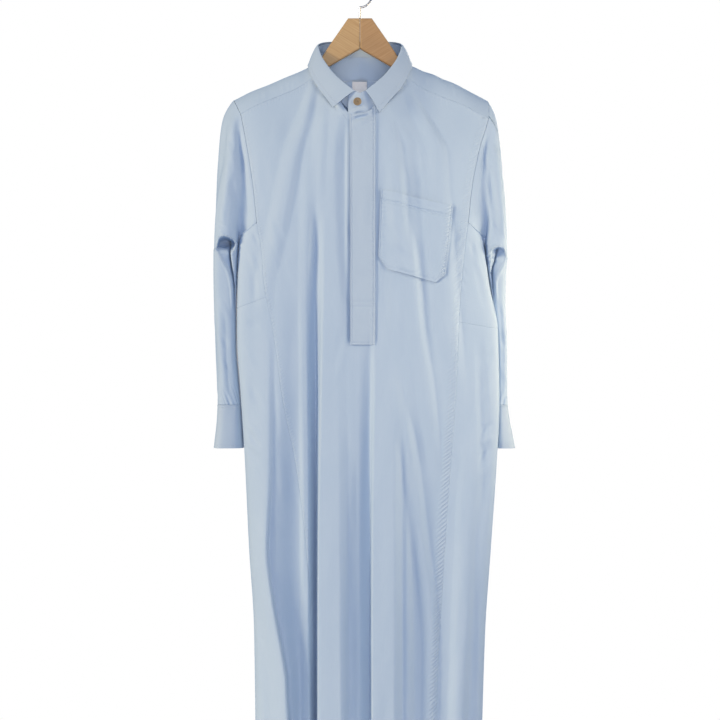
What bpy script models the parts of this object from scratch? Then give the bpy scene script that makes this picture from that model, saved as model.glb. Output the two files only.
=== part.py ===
"""Thobe robe on a wooden hanger: each cut piece is one named object, in metres, +Z up.

The origin is the inside top of the hanger's hook, where a rail carries it.  +X is the viewer's
right, -Y is the front.  "left" and "right" in names are the viewer's.  The tables below are in
millimetres.  Every cloth piece is a grid of points on one shared body form, given its wall by
Solidify.
"""
import bpy
import numpy as np

MM = 0.001
CLOTH = 1.2              # cloth wall
BAND = 1.6               # two layers of cloth: collar, cuffs and placket
SEAM_GAP = 0.3           # each edge stops this far short of its seam line
LIFT = 0.8               # clear space between a panel and what lies on it
HEM_Z = -1568.0
UNDERARM_Z = -430.0      # where the armhole seam meets the gusset
NECK_HALF = 77.0         # half the width of the neck seam
NECK_FRONT_Z = -237.0
NECK_SIDE_Z = -139.5
NECK_BACK_Z = -121.0
NECK_BACK_Y = 50.0
PLACKET = dict(left=-16.5, right=26.0, top=-244.0, foot=-641.5)
YOKE_NECK_X = 68.5       # where the front yoke seam runs into the neck seam
FRONT_COLUMNS = 29
BACK_COLUMNS = 19


# ---------------------------------------------------------------- tables and curves

def table(names, *rows):
    """Columns by name from rows written top to bottom."""
    return dict(zip(names.split(), np.array(rows, float).T))


def smooth(at, knots, values):
    """Cubic curve through the knots that never overshoots them."""
    knots, values = np.asarray(knots, float), np.asarray(values, float)
    step = np.diff(knots)
    rise = np.diff(values) / step
    slope = np.empty_like(values)
    slope[0], slope[-1] = rise[0], rise[-1]
    pair = rise[:-1] * rise[1:]
    total = np.where(pair > 0, rise[:-1] + rise[1:], 1.0)
    slope[1:-1] = np.where(pair > 0, 2 * pair / total, 0.0)
    at = np.clip(at, knots[0], knots[-1])
    i = np.clip(np.searchsorted(knots, at) - 1, 0, len(knots) - 2)
    f = (at - knots[i]) / step[i]
    first = (1 + 2 * f) * (1 - f) ** 2 * values[i] + f * (1 - f) ** 2 * step[i] * slope[i]
    second = f * f * (3 - 2 * f) * values[i + 1] - f * f * (1 - f) * step[i] * slope[i + 1]
    return first + second


def read(tab, name, z):
    """Value of one column at height z."""
    return smooth(-np.asarray(z, float), -tab["z"], tab[name])


# half sections of the body, seen from the front: side silhouettes and the four long seams
WIDTHS = table(
    "z     side_l  seam_l  seam_r  side_r  back_l  back_r",
    (-110, -232, -236, 250, 240, -236, 246),
    (-235, -226, -209.5, 228, 236, -212, 224),
    (-304, -212, -195.6, 207, 226, -190, 200),
    (-377, -200, -184.3, 193, 214, -177, 187),
    (-430, -198, -178.5, 187, 206, -170, 180),
    (-468, -208, -171.8, 182, 213, -166, 176),
    (-540, -211.5, -164.5, 175, 221, -160, 170),
    (-613, -213, -151, 169.6, 238, -153, 163),
    (-745, -205, -132, 164.4, 240, -141, 151),
    (-842, -200, -112.6, 157.4, 237, -133, 143),
    (-991, -193, -93.4, 147, 227, -122, 133),
    (-1143, -184, -84, 138, 217, -113, 126),
    (-1568, -180, -78, 118, 206, -98, 112))

# how far forward and back the body stands at centre, half way out, at the seams and the sides
DEPTHS = table(
    "z     front  mid_f  seam_f  side_l  side_r  seam_b  mid_b  back",
    (-110, -40, -12, -8, 0, 0, 8, 14, 52),
    (-160, -56, -24, -18, 0, 0, 18, 32, 61),
    (-205, -73, -37, -28, 0, 0, 30, 46, 66),
    (-237, -78, -46, -36, 0, 0, 37, 53, 69),
    (-304, -89, -68, -52, 0, 0, 52, 66, 76),
    (-377, -96, -83, -64, 0, 0, 64, 77, 82),
    (-430, -99, -91, -72, 0, 0, 73, 84, 86),
    (-540, -103, -98, -80, -18, -34, 82, 91, 93),
    (-760, -108, -103, -86, -26, -40, 88, 96, 98),
    (-1000, -112, -107, -90, -16, -20, 92, 101, 104),
    (-1568, -120, -114, -98, -4, -6, 100, 108, 112))

YOKE_SEAM = table(       # front yoke seam
    "x    z",
    (-240, -252), (-208.8, -235.2), (-180.9, -219.9), (-147.3, -205.4), (-106.8, -187.1),
    (-88.8, -174.5), (-68.5, -159.5), (68.5, -159.5), (86.5, -173.4), (105.9, -187.1),
    (146.4, -205.4), (182.2, -219.9), (204.4, -232.9), (228.9, -244), (245, -252))
BACK_SEAM = table(       # back yoke seam
    "x    z",
    (-240, -250), (-212, -236), (-150, -198), (-80, -170), (0, -161), (80, -170), (150, -198),
    (224, -240), (245, -250))

# Folds: the path of each crest or trough down the cloth, its height out of the cloth (a trough
# is negative) and how far it spreads to either side.
FRONT_FOLDS = (
    table("z x height left right",              # drag ridge from the collar's left
          (-180, -82, 0, 14, 14), (-260, -100, 6, 16, 14), (-322, -121, 6, 18, 14),
          (-392, -138, 5, 18, 14), (-480, -154, 0, 18, 14)),
    table("z x height left right",              # trough to its right
          (-230, -88, 0, 14, 16), (-322, -101, -6, 14, 18), (-460, -129, -6, 14, 22),
          (-600, -148, 0, 16, 22)),
    table("z x height left right",              # deep trough left of the middle
          (-440, -86, 0, 18, 14), (-560, -83, -8, 20, 14), (-702, -80, -15, 20, 12),
          (-857, -78, -21, 20, 12), (-1030, -78, -26, 20, 12), (-1568, -80, -31, 22, 13)),
    table("z x height left right",              # broad ridge left of the placket
          (-380, -52, 0, 20, 20), (-560, -50, 6, 20, 20), (-857, -49, 10, 20, 22),
          (-1568, -50, 13, 22, 24)),
    table("z x height left right",              # trough under the placket's end
          (-560, 0, 0, 20, 18), (-720, -2, -7, 24, 18), (-1030, -2, -13, 26, 19),
          (-1568, -4, -17, 28, 20)),
    table("z x height left right",              # ridge right of the placket
          (-630, 44, 0, 14, 16), (-740, 44, 7, 16, 18), (-1030, 45, 12, 20, 18),
          (-1568, 46, 15, 22, 18)),
    table("z x height left right",              # trough beyond it
          (-420, 92, 0, 16, 20), (-620, 84, -5, 18, 22), (-857, 82, -9, 18, 22),
          (-1568, 84, -14, 18, 26)),
    table("z x height left right",              # low ridge near the right seam
          (-800, 106, 0, 16, 14), (-1030, 110, 5, 16, 14), (-1568, 114, 9, 18, 16)),
    table("z x height left right",              # hollow of the left lower panel
          (-760, -128, 0, 26, 26), (-940, -126, -8, 28, 26), (-1220, -122, -13, 24, 28),
          (-1568, -116, -15, 22, 26)),
    table("z x height left right",              # slanting ridge at its left
          (-900, -176, 0, 16, 14), (-1000, -166, 7, 18, 14), (-1220, -140, 10, 22, 14),
          (-1568, -128, 10, 24, 14)),
    table("z x height left right",              # drag ridge from the collar's right
          (-190, 76, 0, 14, 14), (-271, 103, 5, 16, 14), (-386, 150, 5, 16, 14),
          (-460, 176, 0, 16, 14)),
    table("z x height left right",              # soft ridge of the right side panel
          (-760, 182, 0, 16, 16), (-1000, 178, 6, 18, 18), (-1568, 160, 10, 22, 20)))
BACK_FOLDS = (
    table("z x height left right",
          (-420, -116, 0, 18, 18), (-640, -108, 7, 20, 20), (-1568, -92, 15, 24, 22)),
    table("z x height left right",
          (-360, -70, 0, 16, 18), (-600, -62, -7, 20, 18), (-1568, -50, -18, 22, 20)),
    table("z x height left right",
          (-480, -22, 0, 20, 20), (-800, -18, 8, 22, 22), (-1568, -8, 14, 24, 24)),
    table("z x height left right",
          (-520, 30, 0, 18, 18), (-760, 32, -8, 20, 18), (-1568, 34, -17, 22, 20)),
    table("z x height left right",
          (-400, 84, 0, 18, 20), (-700, 78, 7, 22, 20), (-1568, 76, 15, 24, 22)),
    table("z x height left right",
          (-440, 132, 0, 18, 18), (-760, 124, -6, 20, 20), (-1568, 116, -12, 24, 22)))


def fold_relief(folds, x, z):
    """Height of all the folds together at x, z: each a soft bell across its path."""
    relief = np.zeros(np.broadcast(x, z).shape)
    for fold in folds:
        away = x - read(fold, "x", z)
        reach = np.where(away < 0, read(fold, "left", z), read(fold, "right", z))
        bell = np.clip(1 - (away / reach) ** 2, 0, None) ** 2
        relief += np.where(z > fold["z"][0], 0, read(fold, "height", z)) * bell
    return relief


# ---------------------------------------------------------------- the shared body form

BODY_KNOTS = 12          # front centre, then right round to the left
FRONT_L, FRONT_R = -2, 2
SIDE_R, BACK_R, BACK_L, SIDE_L, SEAM_L = 3, 4, 8, 9, 10


def body_knots(z):
    """The section's twelve knots at height z: x and y of each."""
    w = {name: read(WIDTHS, name, z) for name in WIDTHS if name != "z"}
    d = {name: read(DEPTHS, name, z) for name in DEPTHS if name != "z"}
    xs = (0 * w["seam_l"], w["seam_r"] / 2, w["seam_r"], w["side_r"], w["back_r"],
          w["back_r"] / 2, 0 * w["seam_l"], w["back_l"] / 2, w["back_l"], w["side_l"],
          w["seam_l"], w["seam_l"] / 2)
    ys = (d["front"], d["mid_f"], d["seam_f"], d["side_r"], d["seam_b"], d["mid_b"], d["back"],
          d["mid_b"], d["seam_b"], d["side_l"], d["seam_f"], d["mid_f"])
    return np.stack([np.stack(xs), np.stack(ys)], axis=1)


def body_form(t, z):
    """Point and outward direction of the plain body at knot count t and height z."""
    t, z = np.broadcast_arrays(np.asarray(t, float), np.asarray(z, float))
    knots = body_knots(z)
    i = np.floor(t).astype(int)
    f = (t - i)[None]

    def knot(k):
        return np.take_along_axis(knots, (k % BODY_KNOTS)[None, None], axis=0)[0]

    def heading(k):
        across = knot(k + 1) - knot(k - 1)
        return across / np.linalg.norm(across, axis=0)

    start, end = knot(i), knot(i + 1)
    chord = np.linalg.norm(end - start, axis=0)
    a, b = heading(i) * chord, heading(i + 1) * chord
    at = ((1 + 2 * f) * (1 - f) ** 2 * start + f * (1 - f) ** 2 * a
          + f * f * (3 - 2 * f) * end - f * f * (1 - f) * b)
    run = (6 * f * f - 6 * f) * (start - end) + (1 - 4 * f + 3 * f * f) * a + (3 * f * f - 2 * f) * b
    run = run / np.linalg.norm(run, axis=0)
    point = np.stack([at[0], at[1], z], axis=-1)
    out = np.stack([run[1], -run[0], 0 * z], axis=-1)
    return point, out


def body_cloth(t, z, lift=0.0):
    """The body form with its folds, moved out by lift."""
    point, out = body_form(t, z)
    front = out[..., 1] < 0
    relief = np.where(front, fold_relief(FRONT_FOLDS, point[..., 0], z),
                      fold_relief(BACK_FOLDS, point[..., 0], z))
    facing = np.abs(out[..., 1]) ** 1.5
    return point + out * (relief * facing + lift)[..., None]


def knot_at(x, z, low, high):
    """Knot count between low and high at which the plain body has this x."""
    x, z = np.broadcast_arrays(np.asarray(x, float), np.asarray(z, float))
    a, b = np.full(x.shape, float(low)), np.full(x.shape, float(high))
    rising = high < BACK_R
    for _ in range(28):
        middle = (a + b) / 2
        beyond = (body_form(middle, z)[0][..., 0] > x) == rising
        a, b = np.where(beyond, a, middle), np.where(beyond, middle, b)
    return (a + b) / 2


def front_cloth(x, z, lift=0.0):
    """Point of the front cloth at x and z."""
    return body_cloth(knot_at(x, z, FRONT_L, FRONT_R), z, lift)


def back_cloth(x, z, lift=0.0):
    """Point of the back cloth at x and z."""
    return body_cloth(knot_at(x, z, BACK_R, BACK_L), z, lift)


def neck_height(x):
    """Height of the front neck seam at x."""
    c = np.sqrt(np.clip(1 - (x / NECK_HALF) ** 2, 0, 1))
    return NECK_SIDE_Z + (NECK_FRONT_Z - NECK_SIDE_Z) * c ** 2.2


def front_top(x):
    """Upper edge of the front: yoke seam, neck seam, yoke seam."""
    seam = smooth(x, YOKE_SEAM["x"], YOKE_SEAM["z"])
    return np.where(np.abs(x) < YOKE_NECK_X, neck_height(x), seam)


def neck_ring(angle):
    """Neck seam at an angle from the front centre, positive to the right."""
    angle = np.asarray(angle, float)
    c = np.cos(angle)
    x = NECK_HALF * np.sin(angle)
    corner = np.sqrt(1 - (YOKE_NECK_X / NECK_HALF) ** 2)
    z = np.where(c > 0, NECK_SIDE_Z + (NECK_FRONT_Z - NECK_SIDE_Z) * np.abs(c) ** 2.2,
                 NECK_SIDE_Z + (NECK_BACK_Z - NECK_SIDE_Z) * np.abs(c) ** 1.5)
    inner = np.clip(x, -YOKE_NECK_X, YOKE_NECK_X)
    on_front = front_cloth(inner, neck_height(inner))[..., 1]
    y = np.where(c > corner, on_front, np.where(c > 0, on_front * c / corner, -NECK_BACK_Y * c))
    return np.stack([x, y, z], axis=-1)


# ---------------------------------------------------------------- making objects

def material(name, colour, roughness):
    """A Principled finish in a linear colour."""
    finish = bpy.data.materials.new(name)
    finish.use_nodes = True
    shader = finish.node_tree.nodes["Principled BSDF"]
    shader.inputs["Base Color"].default_value = (*colour, 1)
    shader.inputs["Roughness"].default_value = roughness
    return finish


def add(name, points, faces, finish, smooth_shade=True):
    """One named object from points in millimetres."""
    mesh = bpy.data.meshes.new(name)
    mesh.from_pydata((np.asarray(points, float) * MM).tolist(), [], faces)
    mesh.materials.append(finish)
    if smooth_shade:
        mesh.shade_smooth()
    item = bpy.data.objects.new(name, mesh)
    bpy.context.collection.objects.link(item)
    return item


def sheet(name, grid, finish, wall=CLOTH, closed=False):
    """A grid of points as cloth with a wall; closed joins the last column to the first."""
    rows, columns = grid.shape[:2]
    across = columns if closed else columns - 1
    faces = []
    for r in range(rows - 1):
        for c in range(across):
            d = (c + 1) % columns
            faces.append((r * columns + c, (r + 1) * columns + c,
                          (r + 1) * columns + d, r * columns + d))
    item = add(name, grid.reshape(-1, 3), faces, finish)
    skin = item.modifiers.new("wall", "SOLIDIFY")
    skin.thickness = wall * MM
    skin.offset = 0
    return item


LEVELS = np.concatenate([np.linspace(-300, UNDERARM_Z, 4), np.linspace(UNDERARM_Z, -602, 5)[1:],
                         np.linspace(PLACKET["foot"], HEM_Z, 16)])    # heights of the body's rows


def margin(count, length, gap=SEAM_GAP):
    """Even fractions 0 to 1, the ends drawn in by the seam gap."""
    return np.linspace(gap / length, 1 - gap / length, count)


# ---------------------------------------------------------------- body panels

def top_edge(left, right, top, s):
    """Where the columns at shares s of the width meet the panel's top edge: x and z."""
    z = np.full(s.shape, LEVELS[0])
    for _ in range(12):
        x = read(WIDTHS, left, z) + (read(WIDTHS, right, z) - read(WIDTHS, left, z)) * s
        z = top(x)
    return x, z


def panel(name, cloth, left, right, top, columns, upper, finish):
    """Front or back: columns share the width, rows start on the top edge and end level."""
    s = margin(columns, 300)[None]
    top_z = top_edge(left, right, top, s)[1] - SEAM_GAP
    high = top_z + (LEVELS[0] - top_z) * np.linspace(0, 1, upper)[:, None]
    z = np.vstack([high, LEVELS[1:, None] + 0 * s])
    x = read(WIDTHS, left, z) + (read(WIDTHS, right, z) - read(WIDTHS, left, z)) * s
    sheet(name, cloth(x, z), finish)


GUSSETS = {              # heights of each gusset's upper and lower seams: front, side, back
    "left": dict(knots=(SEAM_L, SIDE_L, BACK_L), top=(-430, -449, -430), foot=(-559, -577, -559)),
    "right": dict(knots=(FRONT_R, SIDE_R, BACK_R), top=(-430, -449, -430),
                  foot=(-602, -614, -602))}


def side_heights(side, edge, t):
    """Height of a gusset's upper or lower seam at knot count t."""
    gusset = GUSSETS[side]
    way = np.abs(np.asarray(t, float) - gusset["knots"][0])
    return smooth(way, (0, 1, 2), gusset[edge])


def side_panels(side, finish):
    """Gusset under the arm, with the front and back side panels below it."""
    front, mid, back = GUSSETS[side]["knots"]
    ahead = np.array([0.006, 0.07, 0.14, 0.23, 0.36, 0.6, 0.997])
    behind = margin(5, 105)
    t = front + (back - front) * np.concatenate([ahead[:-1], [1], 1 + behind[1:]]) / 2
    if side == "right":
        t = t[::-1]
    top = side_heights(side, "top", t) - SEAM_GAP
    foot = side_heights(side, "foot", t) + SEAM_GAP
    levels = LEVELS[(LEVELS < UNDERARM_Z - 1) & (LEVELS > GUSSETS[side]["foot"][0] + 1)]
    v = (np.concatenate([[UNDERARM_Z], levels, [GUSSETS[side]["foot"][0]]]) - UNDERARM_Z)
    z = top + (foot - top) * (v / v[-1])[:, None]
    sheet(f"gusset_{side}", body_cloth(t[None] + 0 * z, z), finish)
    for piece, start, end, share in (("side_front", front, mid, ahead),
                                     ("side_back", mid, back, behind)):
        t = start + (end - start) * share
        if side == "right":
            t = t[::-1]
        top = side_heights(side, "foot", t) - SEAM_GAP
        below = LEVELS[LEVELS < GUSSETS[side]["foot"][0] - 1]
        z = np.vstack([top[None], below[:, None] + 0 * t])
        sheet(f"{piece}_{side}", body_cloth(t[None] + 0 * z, z), finish)


# ---------------------------------------------------------------- yoke

YOKE = {                 # stations from the armhole to the back of the neck
    "left": table("k  front  ridge_x  ridge_y  ridge_z  back",
                  (0, -209.5, -224.5, 0, -206, -212), (1, -165, -170, 0, -181, -172),
                  (2, -115, -120, 0, -160.5, -132), (3, -YOKE_NECK_X, -83, 2, -143.5, -100),
                  (4, -NECK_HALF, -85, 22, -147, -80), (5, -54, -56, 45, -142, -42),
                  (6, 0, 0, 58, -141, 0)),
    "right": table("k  front  ridge_x  ridge_y  ridge_z  back",
                   (0, 227.5, 227, 0, -208, 224), (1, 172, 172, 0, -178.5, 178),
                   (2, 118, 120, 0, -156.5, 136), (3, YOKE_NECK_X, 83, 2, -142, 100),
                   (4, NECK_HALF, 85, 22, -146, 80), (5, 54, 56, 45, -142, 42),
                   (6, 0, 0, 58, -141, 0))}


def yoke_strings(side, k, w):
    """Yoke point at station k and share w of the way from its front edge to its back edge."""
    k, w = np.broadcast_arrays(np.asarray(k, float), np.asarray(w, float))
    rows = YOKE[side]
    sign = np.sign(rows["front"][0])
    x = smooth(k, rows["k"][:4], rows["front"][:4])
    on_seam = front_cloth(x, front_top(x * 0.9999))
    corner = np.arcsin(YOKE_NECK_X / NECK_HALF)
    angle = smooth(k, (3, 4, 5, 6), (corner, np.pi / 2, np.pi * 0.75, np.pi))
    first = np.where((k < 3)[..., None], on_seam, neck_ring(sign * angle))
    ridge = np.stack([smooth(k, rows["k"], rows[name]) for name in ("ridge_x", "ridge_y", "ridge_z")],
                     axis=-1)
    x = smooth(k, rows["k"], rows["back"])
    last = back_cloth(x, smooth(x, BACK_SEAM["x"], BACK_SEAM["z"]))
    pull = 2 * ridge - (first + last) / 2
    w = w[..., None]
    return (1 - w) ** 2 * first + 2 * w * (1 - w) * pull + w * w * last


def yoke(finish):
    """Over both shoulders and behind the neck in one piece."""
    w = margin(8, 80, 2 * SEAM_GAP)[:, None]
    seam_x = top_edge("seam_l", "seam_r", front_top, margin(FRONT_COLUMNS, 300))[0]
    halves = []
    for side, sign in (("left", -1), ("right", 1)):
        rows = YOKE[side]
        shoulder = np.sort(np.abs(seam_x[seam_x * sign > YOKE_NECK_X + 4]))[::-1]
        fine = np.linspace(0, 3, 61)
        reach = np.abs(smooth(fine, rows["k"][:4], rows["front"][:4]))
        k = np.interp(-shoulder, -reach, fine)
        k = np.concatenate([[0.012], k[1:], np.linspace(3, 6, 9)])
        halves.append(yoke_strings(side, k[None], w))
    grid = np.concatenate([halves[0], halves[1][:, -2::-1]], axis=1)
    sheet("yoke", grid[::-1], finish)


# ---------------------------------------------------------------- sleeves and cuffs

LIPS = {                 # where the upper sleeve ends: it arches up over the elbow fold
    "left": table("share  z",
                  (0, -476), (0.165, -476), (0.203, -471), (0.222, -456), (0.244, -452),
                  (0.275, -455.5), (0.31, -462.4), (0.337, -471), (0.37, -476), (1, -476)),
    "right": table("share  z",
                   (0, -492), (0.17, -491), (0.204, -482.6), (0.22, -473.5), (0.246, -471),
                   (0.276, -474.6), (0.294, -482.6), (0.33, -490), (0.37, -492), (1, -492))}
LEVEL_Z = -570.0         # below this the sleeve's rings are level
CUFF_TOP_Z = -746.0
CUFF_END_Z = -822.0
SLEEVES = {
    "left": table("z     outer  inner  front  back",
                  (-470, -255, -213.5, -80, 84), (-520, -255.5, -216, -76, 80),
                  (-580, -255, -219.5, -68, 76), (-640, -254, -219, -62, 70),
                  (-709, -251, -213, -56, 62), (-746, -249.5, -210, -52, 56),
                  (-822, -256, -206, -56, 60)),
    "right": table("z     outer  inner  front  back",
                   (-470, 259, 218, -80, 84), (-520, 255, 223, -72, 80),
                   (-580, 257, 235, -60, 78), (-640, 258.5, 244.5, -52, 74),
                   (-709, 257.5, 245.5, -48, 68), (-746, 259, 245.5, -46, 62),
                   (-822, 272, 244.5, -50, 64))}
ARMHOLE = table(         # share round the armhole, share round the sleeve, way the cloth sets off
    "u    ring  left  right  fore  down",
    (0, 0, 0.42, 0.27, 0, 0.62), (0.08, 0.12, 0.55, 0.45, 0.18, 0.5),
    (0.22, 0.25, 0.7, 0.7, 0.15, 0.35), (0.37, 0.37, 0.85, 0.85, 0.1, 0.45),
    (0.5, 0.5, 0.95, 0.95, 0, 0.3), (0.63, 0.63, 0.85, 0.85, -0.1, 0.45),
    (0.78, 0.75, 0.7, 0.7, -0.15, 0.35), (0.92, 0.88, 0.55, 0.45, -0.18, 0.5),
    (1, 1, 0.42, 0.27, 0, 0.62))


SLEEVE_FOLDS = (         # share round the sleeve where each fold runs
    table("z share height reach",               # trough beside the armhole seam
          (-215, 0.26, 0, 0.05), (-260, 0.27, -5, 0.06), (-380, 0.30, -7, 0.06),
          (-440, 0.32, 0, 0.05)),
    table("z share height reach",               # drag ridge down the front from the crest
          (-215, 0.18, 0, 0.05), (-270, 0.18, 4, 0.06), (-400, 0.20, 4, 0.06),
          (-452, 0.22, 0, 0.05)),
    table("z share height reach",               # the same pair on the back
          (-225, 0.74, 0, 0.05), (-300, 0.73, -6, 0.06), (-420, 0.70, -5, 0.06),
          (-520, 0.68, 0, 0.05)),
    table("z share height reach",
          (-230, 0.84, 0, 0.06), (-330, 0.82, 3, 0.07), (-560, 0.78, 5, 0.07),
          (-700, 0.78, 0, 0.05)),
    table("z share height reach",               # long soft trough down the outer side
          (-470, 0.07, 0, 0.06), (-600, 0.08, -3, 0.06), (-720, 0.10, 0, 0.05)))
HOLLOW_DEPTH = 36.0      # how far the folded front stands back under its lip
HOLLOWS = {              # the fold's mouth at each height, as shares of the sleeve's width
    "left": table("z   low   high  depth",
                  (-446, 0.30, 0.34, 0), (-454, 0.12, 0.60, 1), (-466, 0.06, 0.68, 1),
                  (-478, 0.12, 0.71, 1), (-497, 0.32, 0.76, 0.8), (-517, 0.55, 0.80, 0.5),
                  (-540, 0.72, 0.86, 0.2), (-564, 0.88, 0.90, 0)),
    "right": table("z   low   high  depth",
                   (-466, 0.30, 0.42, 0), (-474, 0.10, 0.66, 1), (-484, 0.06, 0.70, 1),
                   (-494, 0.12, 0.64, 0.9), (-513, 0.34, 0.62, 0.5), (-535, 0.58, 0.62, 0))}


def hollow(side, across, z):
    """How far the sleeve's front stands back at this share of its width and height."""
    rows = HOLLOWS[side]
    low, high = read(rows, "low", z), read(rows, "high", z)
    middle, half = (low + high) / 2, np.maximum((high - low) / 2, 0.02)
    inside = np.clip(1 - (np.abs(across - middle) / (half + 0.05)) ** 4, 0, 1)
    live = (z < rows["z"][0]) & (z > rows["z"][-1])
    return np.where(live, HOLLOW_DEPTH * read(rows, "depth", z) * inside, 0)


def sleeve_relief(share, z):
    """Height of the sleeve's folds at this share round it."""
    relief = np.zeros(np.broadcast(share, z).shape)
    for fold in SLEEVE_FOLDS:
        away = (share - read(fold, "share", z)) / read(fold, "reach", z)
        live = (z < fold["z"][0]) & (z > fold["z"][-1])
        relief += np.where(live, read(fold, "height", z), 0) * np.clip(1 - away ** 2, 0, None) ** 2
    return relief


def oval(share, outer, inner, front, back):
    """Flat tube with round ends: share 0 is the outer side, a quarter is the front."""
    a = np.abs(outer - inner) / 2
    b = (back - front) / 2
    flat = b - a
    whole = 4 * flat + 2 * np.pi * a
    s = (share % 1.0) * whole
    turn = np.pi * a
    side = np.sign(outer - inner)
    s1, s2, s3 = s - flat, s - flat - turn, s - 3 * flat - turn
    angle1 = np.clip(s1 / a, 0, np.pi)
    angle2 = np.clip(s3 / a, 0, np.pi)
    x = np.where(s1 < 0, a, np.where(s2 < 0, a * np.cos(angle1), np.where(
        s3 < 0, -a, np.where(s3 < turn, -a * np.cos(angle2), a))))
    y = np.where(s1 < 0, -s, np.where(s2 < 0, -flat - a * np.sin(angle1), np.where(
        s3 < 0, -flat + s2, np.where(s3 < turn, flat + a * np.sin(angle2), flat - (s3 - turn)))))
    return (outer + inner) / 2 + side * x, (front + back) / 2 + y


def armhole(side, u):
    """Closed armhole seam: crest, front corner, down to the gusset, under it and up the back."""
    u = np.asarray(u, float)
    gusset = GUSSETS[side]
    front, mid, back = gusset["knots"]
    corner, under = 0.08, 0.37
    edge_front = yoke_strings(side, 0, smooth(u, (0, corner), (0.5, 0)))
    edge_back = yoke_strings(side, 0, smooth(u, (1 - corner, 1), (1, 0.5)))
    z = smooth(u, (corner, under), (-236, UNDERARM_Z))
    down = body_cloth(np.full(u.shape, float(front)), z)
    z = smooth(u, (1 - under, 1 - corner), (UNDERARM_Z, -238))
    up = body_cloth(np.full(u.shape, float(back)), z)
    t = front + (back - front) * np.clip((u - under) / (1 - 2 * under), 0, 1)
    below = body_cloth(t, side_heights(side, "top", t))
    pick = np.digitize(u, (corner, under, 1 - under, 1 - corner))[..., None]
    return np.choose(pick, (edge_front, down, below, up, edge_back))


def sleeve(side, finish):
    """Tube from the armhole seam down to the cuff, with the fold across its front."""
    rows = SLEEVES[side]
    sign = np.sign(rows["outer"][0])
    u = np.concatenate([np.linspace(0.02, 0.12, 4), np.linspace(0.145, 0.365, 11),
                        np.linspace(0.4, 0.98, 12)])
    start = armhole(side, u)
    ring = smooth(u, ARMHOLE["u"], ARMHOLE["ring"])
    lip = smooth(ring, LIPS[side]["share"], LIPS[side]["z"])
    x, y = oval(ring, *(read(rows, name, lip) for name in ("outer", "inner", "front", "back")))
    end = np.stack([x, y, lip], axis=-1)
    lead = np.stack([sign * smooth(u, ARMHOLE["u"], ARMHOLE[side]),
                     -smooth(u, ARMHOLE["u"], ARMHOLE["fore"]),
                     -smooth(u, ARMHOLE["u"], ARMHOLE["down"])], axis=-1)
    start = start + lead * 1.2
    start[:, 2] += np.clip(6 - 40 * np.abs(u - 0.5), 0, 0.9)
    length = np.linalg.norm(end - start, axis=-1, keepdims=True)
    f = np.linspace(0, 1, 9)[:, None, None]
    upper = ((1 + 2 * f) * (1 - f) ** 2 * start + f * (1 - f) ** 2 * lead * length
             + f * f * (3 - 2 * f) * end + f * f * (1 - f) * length * np.array([0, 0, 1.0]))
    down = np.array([0.012, 0.05, 0.12, 0.22, 0.34, 0.48, 0.64, 0.82, 1.0])[:, None]
    z = np.vstack([lip + (LEVEL_Z - lip) * down,
                   np.linspace(LEVEL_Z, CUFF_TOP_Z, 6)[1:, None] + 0 * u])
    x, y = oval(ring[None], *(read(rows, name, z) for name in ("outer", "inner", "front", "back")))
    lower = np.stack([x, y, z], axis=-1)
    grid = np.concatenate([upper, lower])
    level = grid[..., 2]
    outer, inner, front, back = (read(rows, name, level)
                                 for name in ("outer", "inner", "front", "back"))
    middle = np.stack([(outer + inner) / 2, np.clip(grid[..., 1], front + 30, back - 30)], axis=-1)
    away = grid[..., :2] - middle
    away /= np.maximum(np.linalg.norm(away, axis=-1, keepdims=True), 1)
    grown = np.clip(np.arange(len(grid)) / 3, 0, 1)[:, None]      # none at the armhole seam
    grid[..., :2] += away * (grown * sleeve_relief(ring[None], level))[..., None]
    facing = (ring > 0.1) & (ring < 0.4)
    row = np.arange(len(grid))[:, None] - (len(upper) - 1)
    turned = np.interp(row, (0, 1, 2, 3), (0, 0.3, 0.8, 1))      # back under the lip
    across = (grid[..., 0] - outer) / (inner - outer)
    grid[..., 1] += np.where(facing, turned * hollow(side, across, level), 0)
    if side == "left":
        grid = grid[:, ::-1]
    sheet(f"sleeve_{side}", grid, finish, closed=True)


def cuff(side, finish):
    """Stiff band that flares to its end."""
    rows = SLEEVES[side]
    share = np.arange(20) / 20
    z = np.linspace(CUFF_TOP_Z - 0.6, CUFF_END_Z, 3)[:, None] + 0 * share
    x, y = oval(share[None], *(read(rows, name, z) for name in ("outer", "inner", "front", "back")))
    grid = np.stack([x, y, z], axis=-1)
    if side == "left":
        grid = grid[:, ::-1]
    sheet(f"cuff_{side}", grid, finish, wall=BAND, closed=True)


# ---------------------------------------------------------------- collar

ROLL = table(            # collar's roll line, from the front end to the back centre
    "k  x  y  z",
    (0, 8, -78, -202.5), (1, 26.5, -69, -187), (2, 42.5, -56, -171), (3, 55.9, -42, -153),
    (4, 66.4, -25, -134.5), (5, 73.5, 0, -110), (6, 54, 38, -97), (7, 0, 52, -94))
FALL = {                 # outer edge of the fall beside it
    "left": table("k  x  y  z",
                  (0, -46.5, -83, -229), (1, -54, -77, -218), (2, -63, -68, -205),
                  (3, -76, -55, -186), (4, -85.6, -41, -168), (4.5, -90.5, -25, -153),
                  (5, -92, 0, -143),
                  (6, -66, 49, -139), (7, 0, 67, -137)),
    "right": table("k  x  y  z",
                   (0, 33.3, -85, -238), (1, 44, -79, -225), (2, 56, -71, -210),
                   (3, 70.5, -59, -193), (4, 83, -43, -169.5), (4.5, 90, -26, -153),
                   (5, 92, 0, -141),
                   (6, 66, 49, -138), (7, 0, 67, -137))}
STAND_OVERLAP = 0.27     # angle by which the stand's upper end passes the centre


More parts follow.
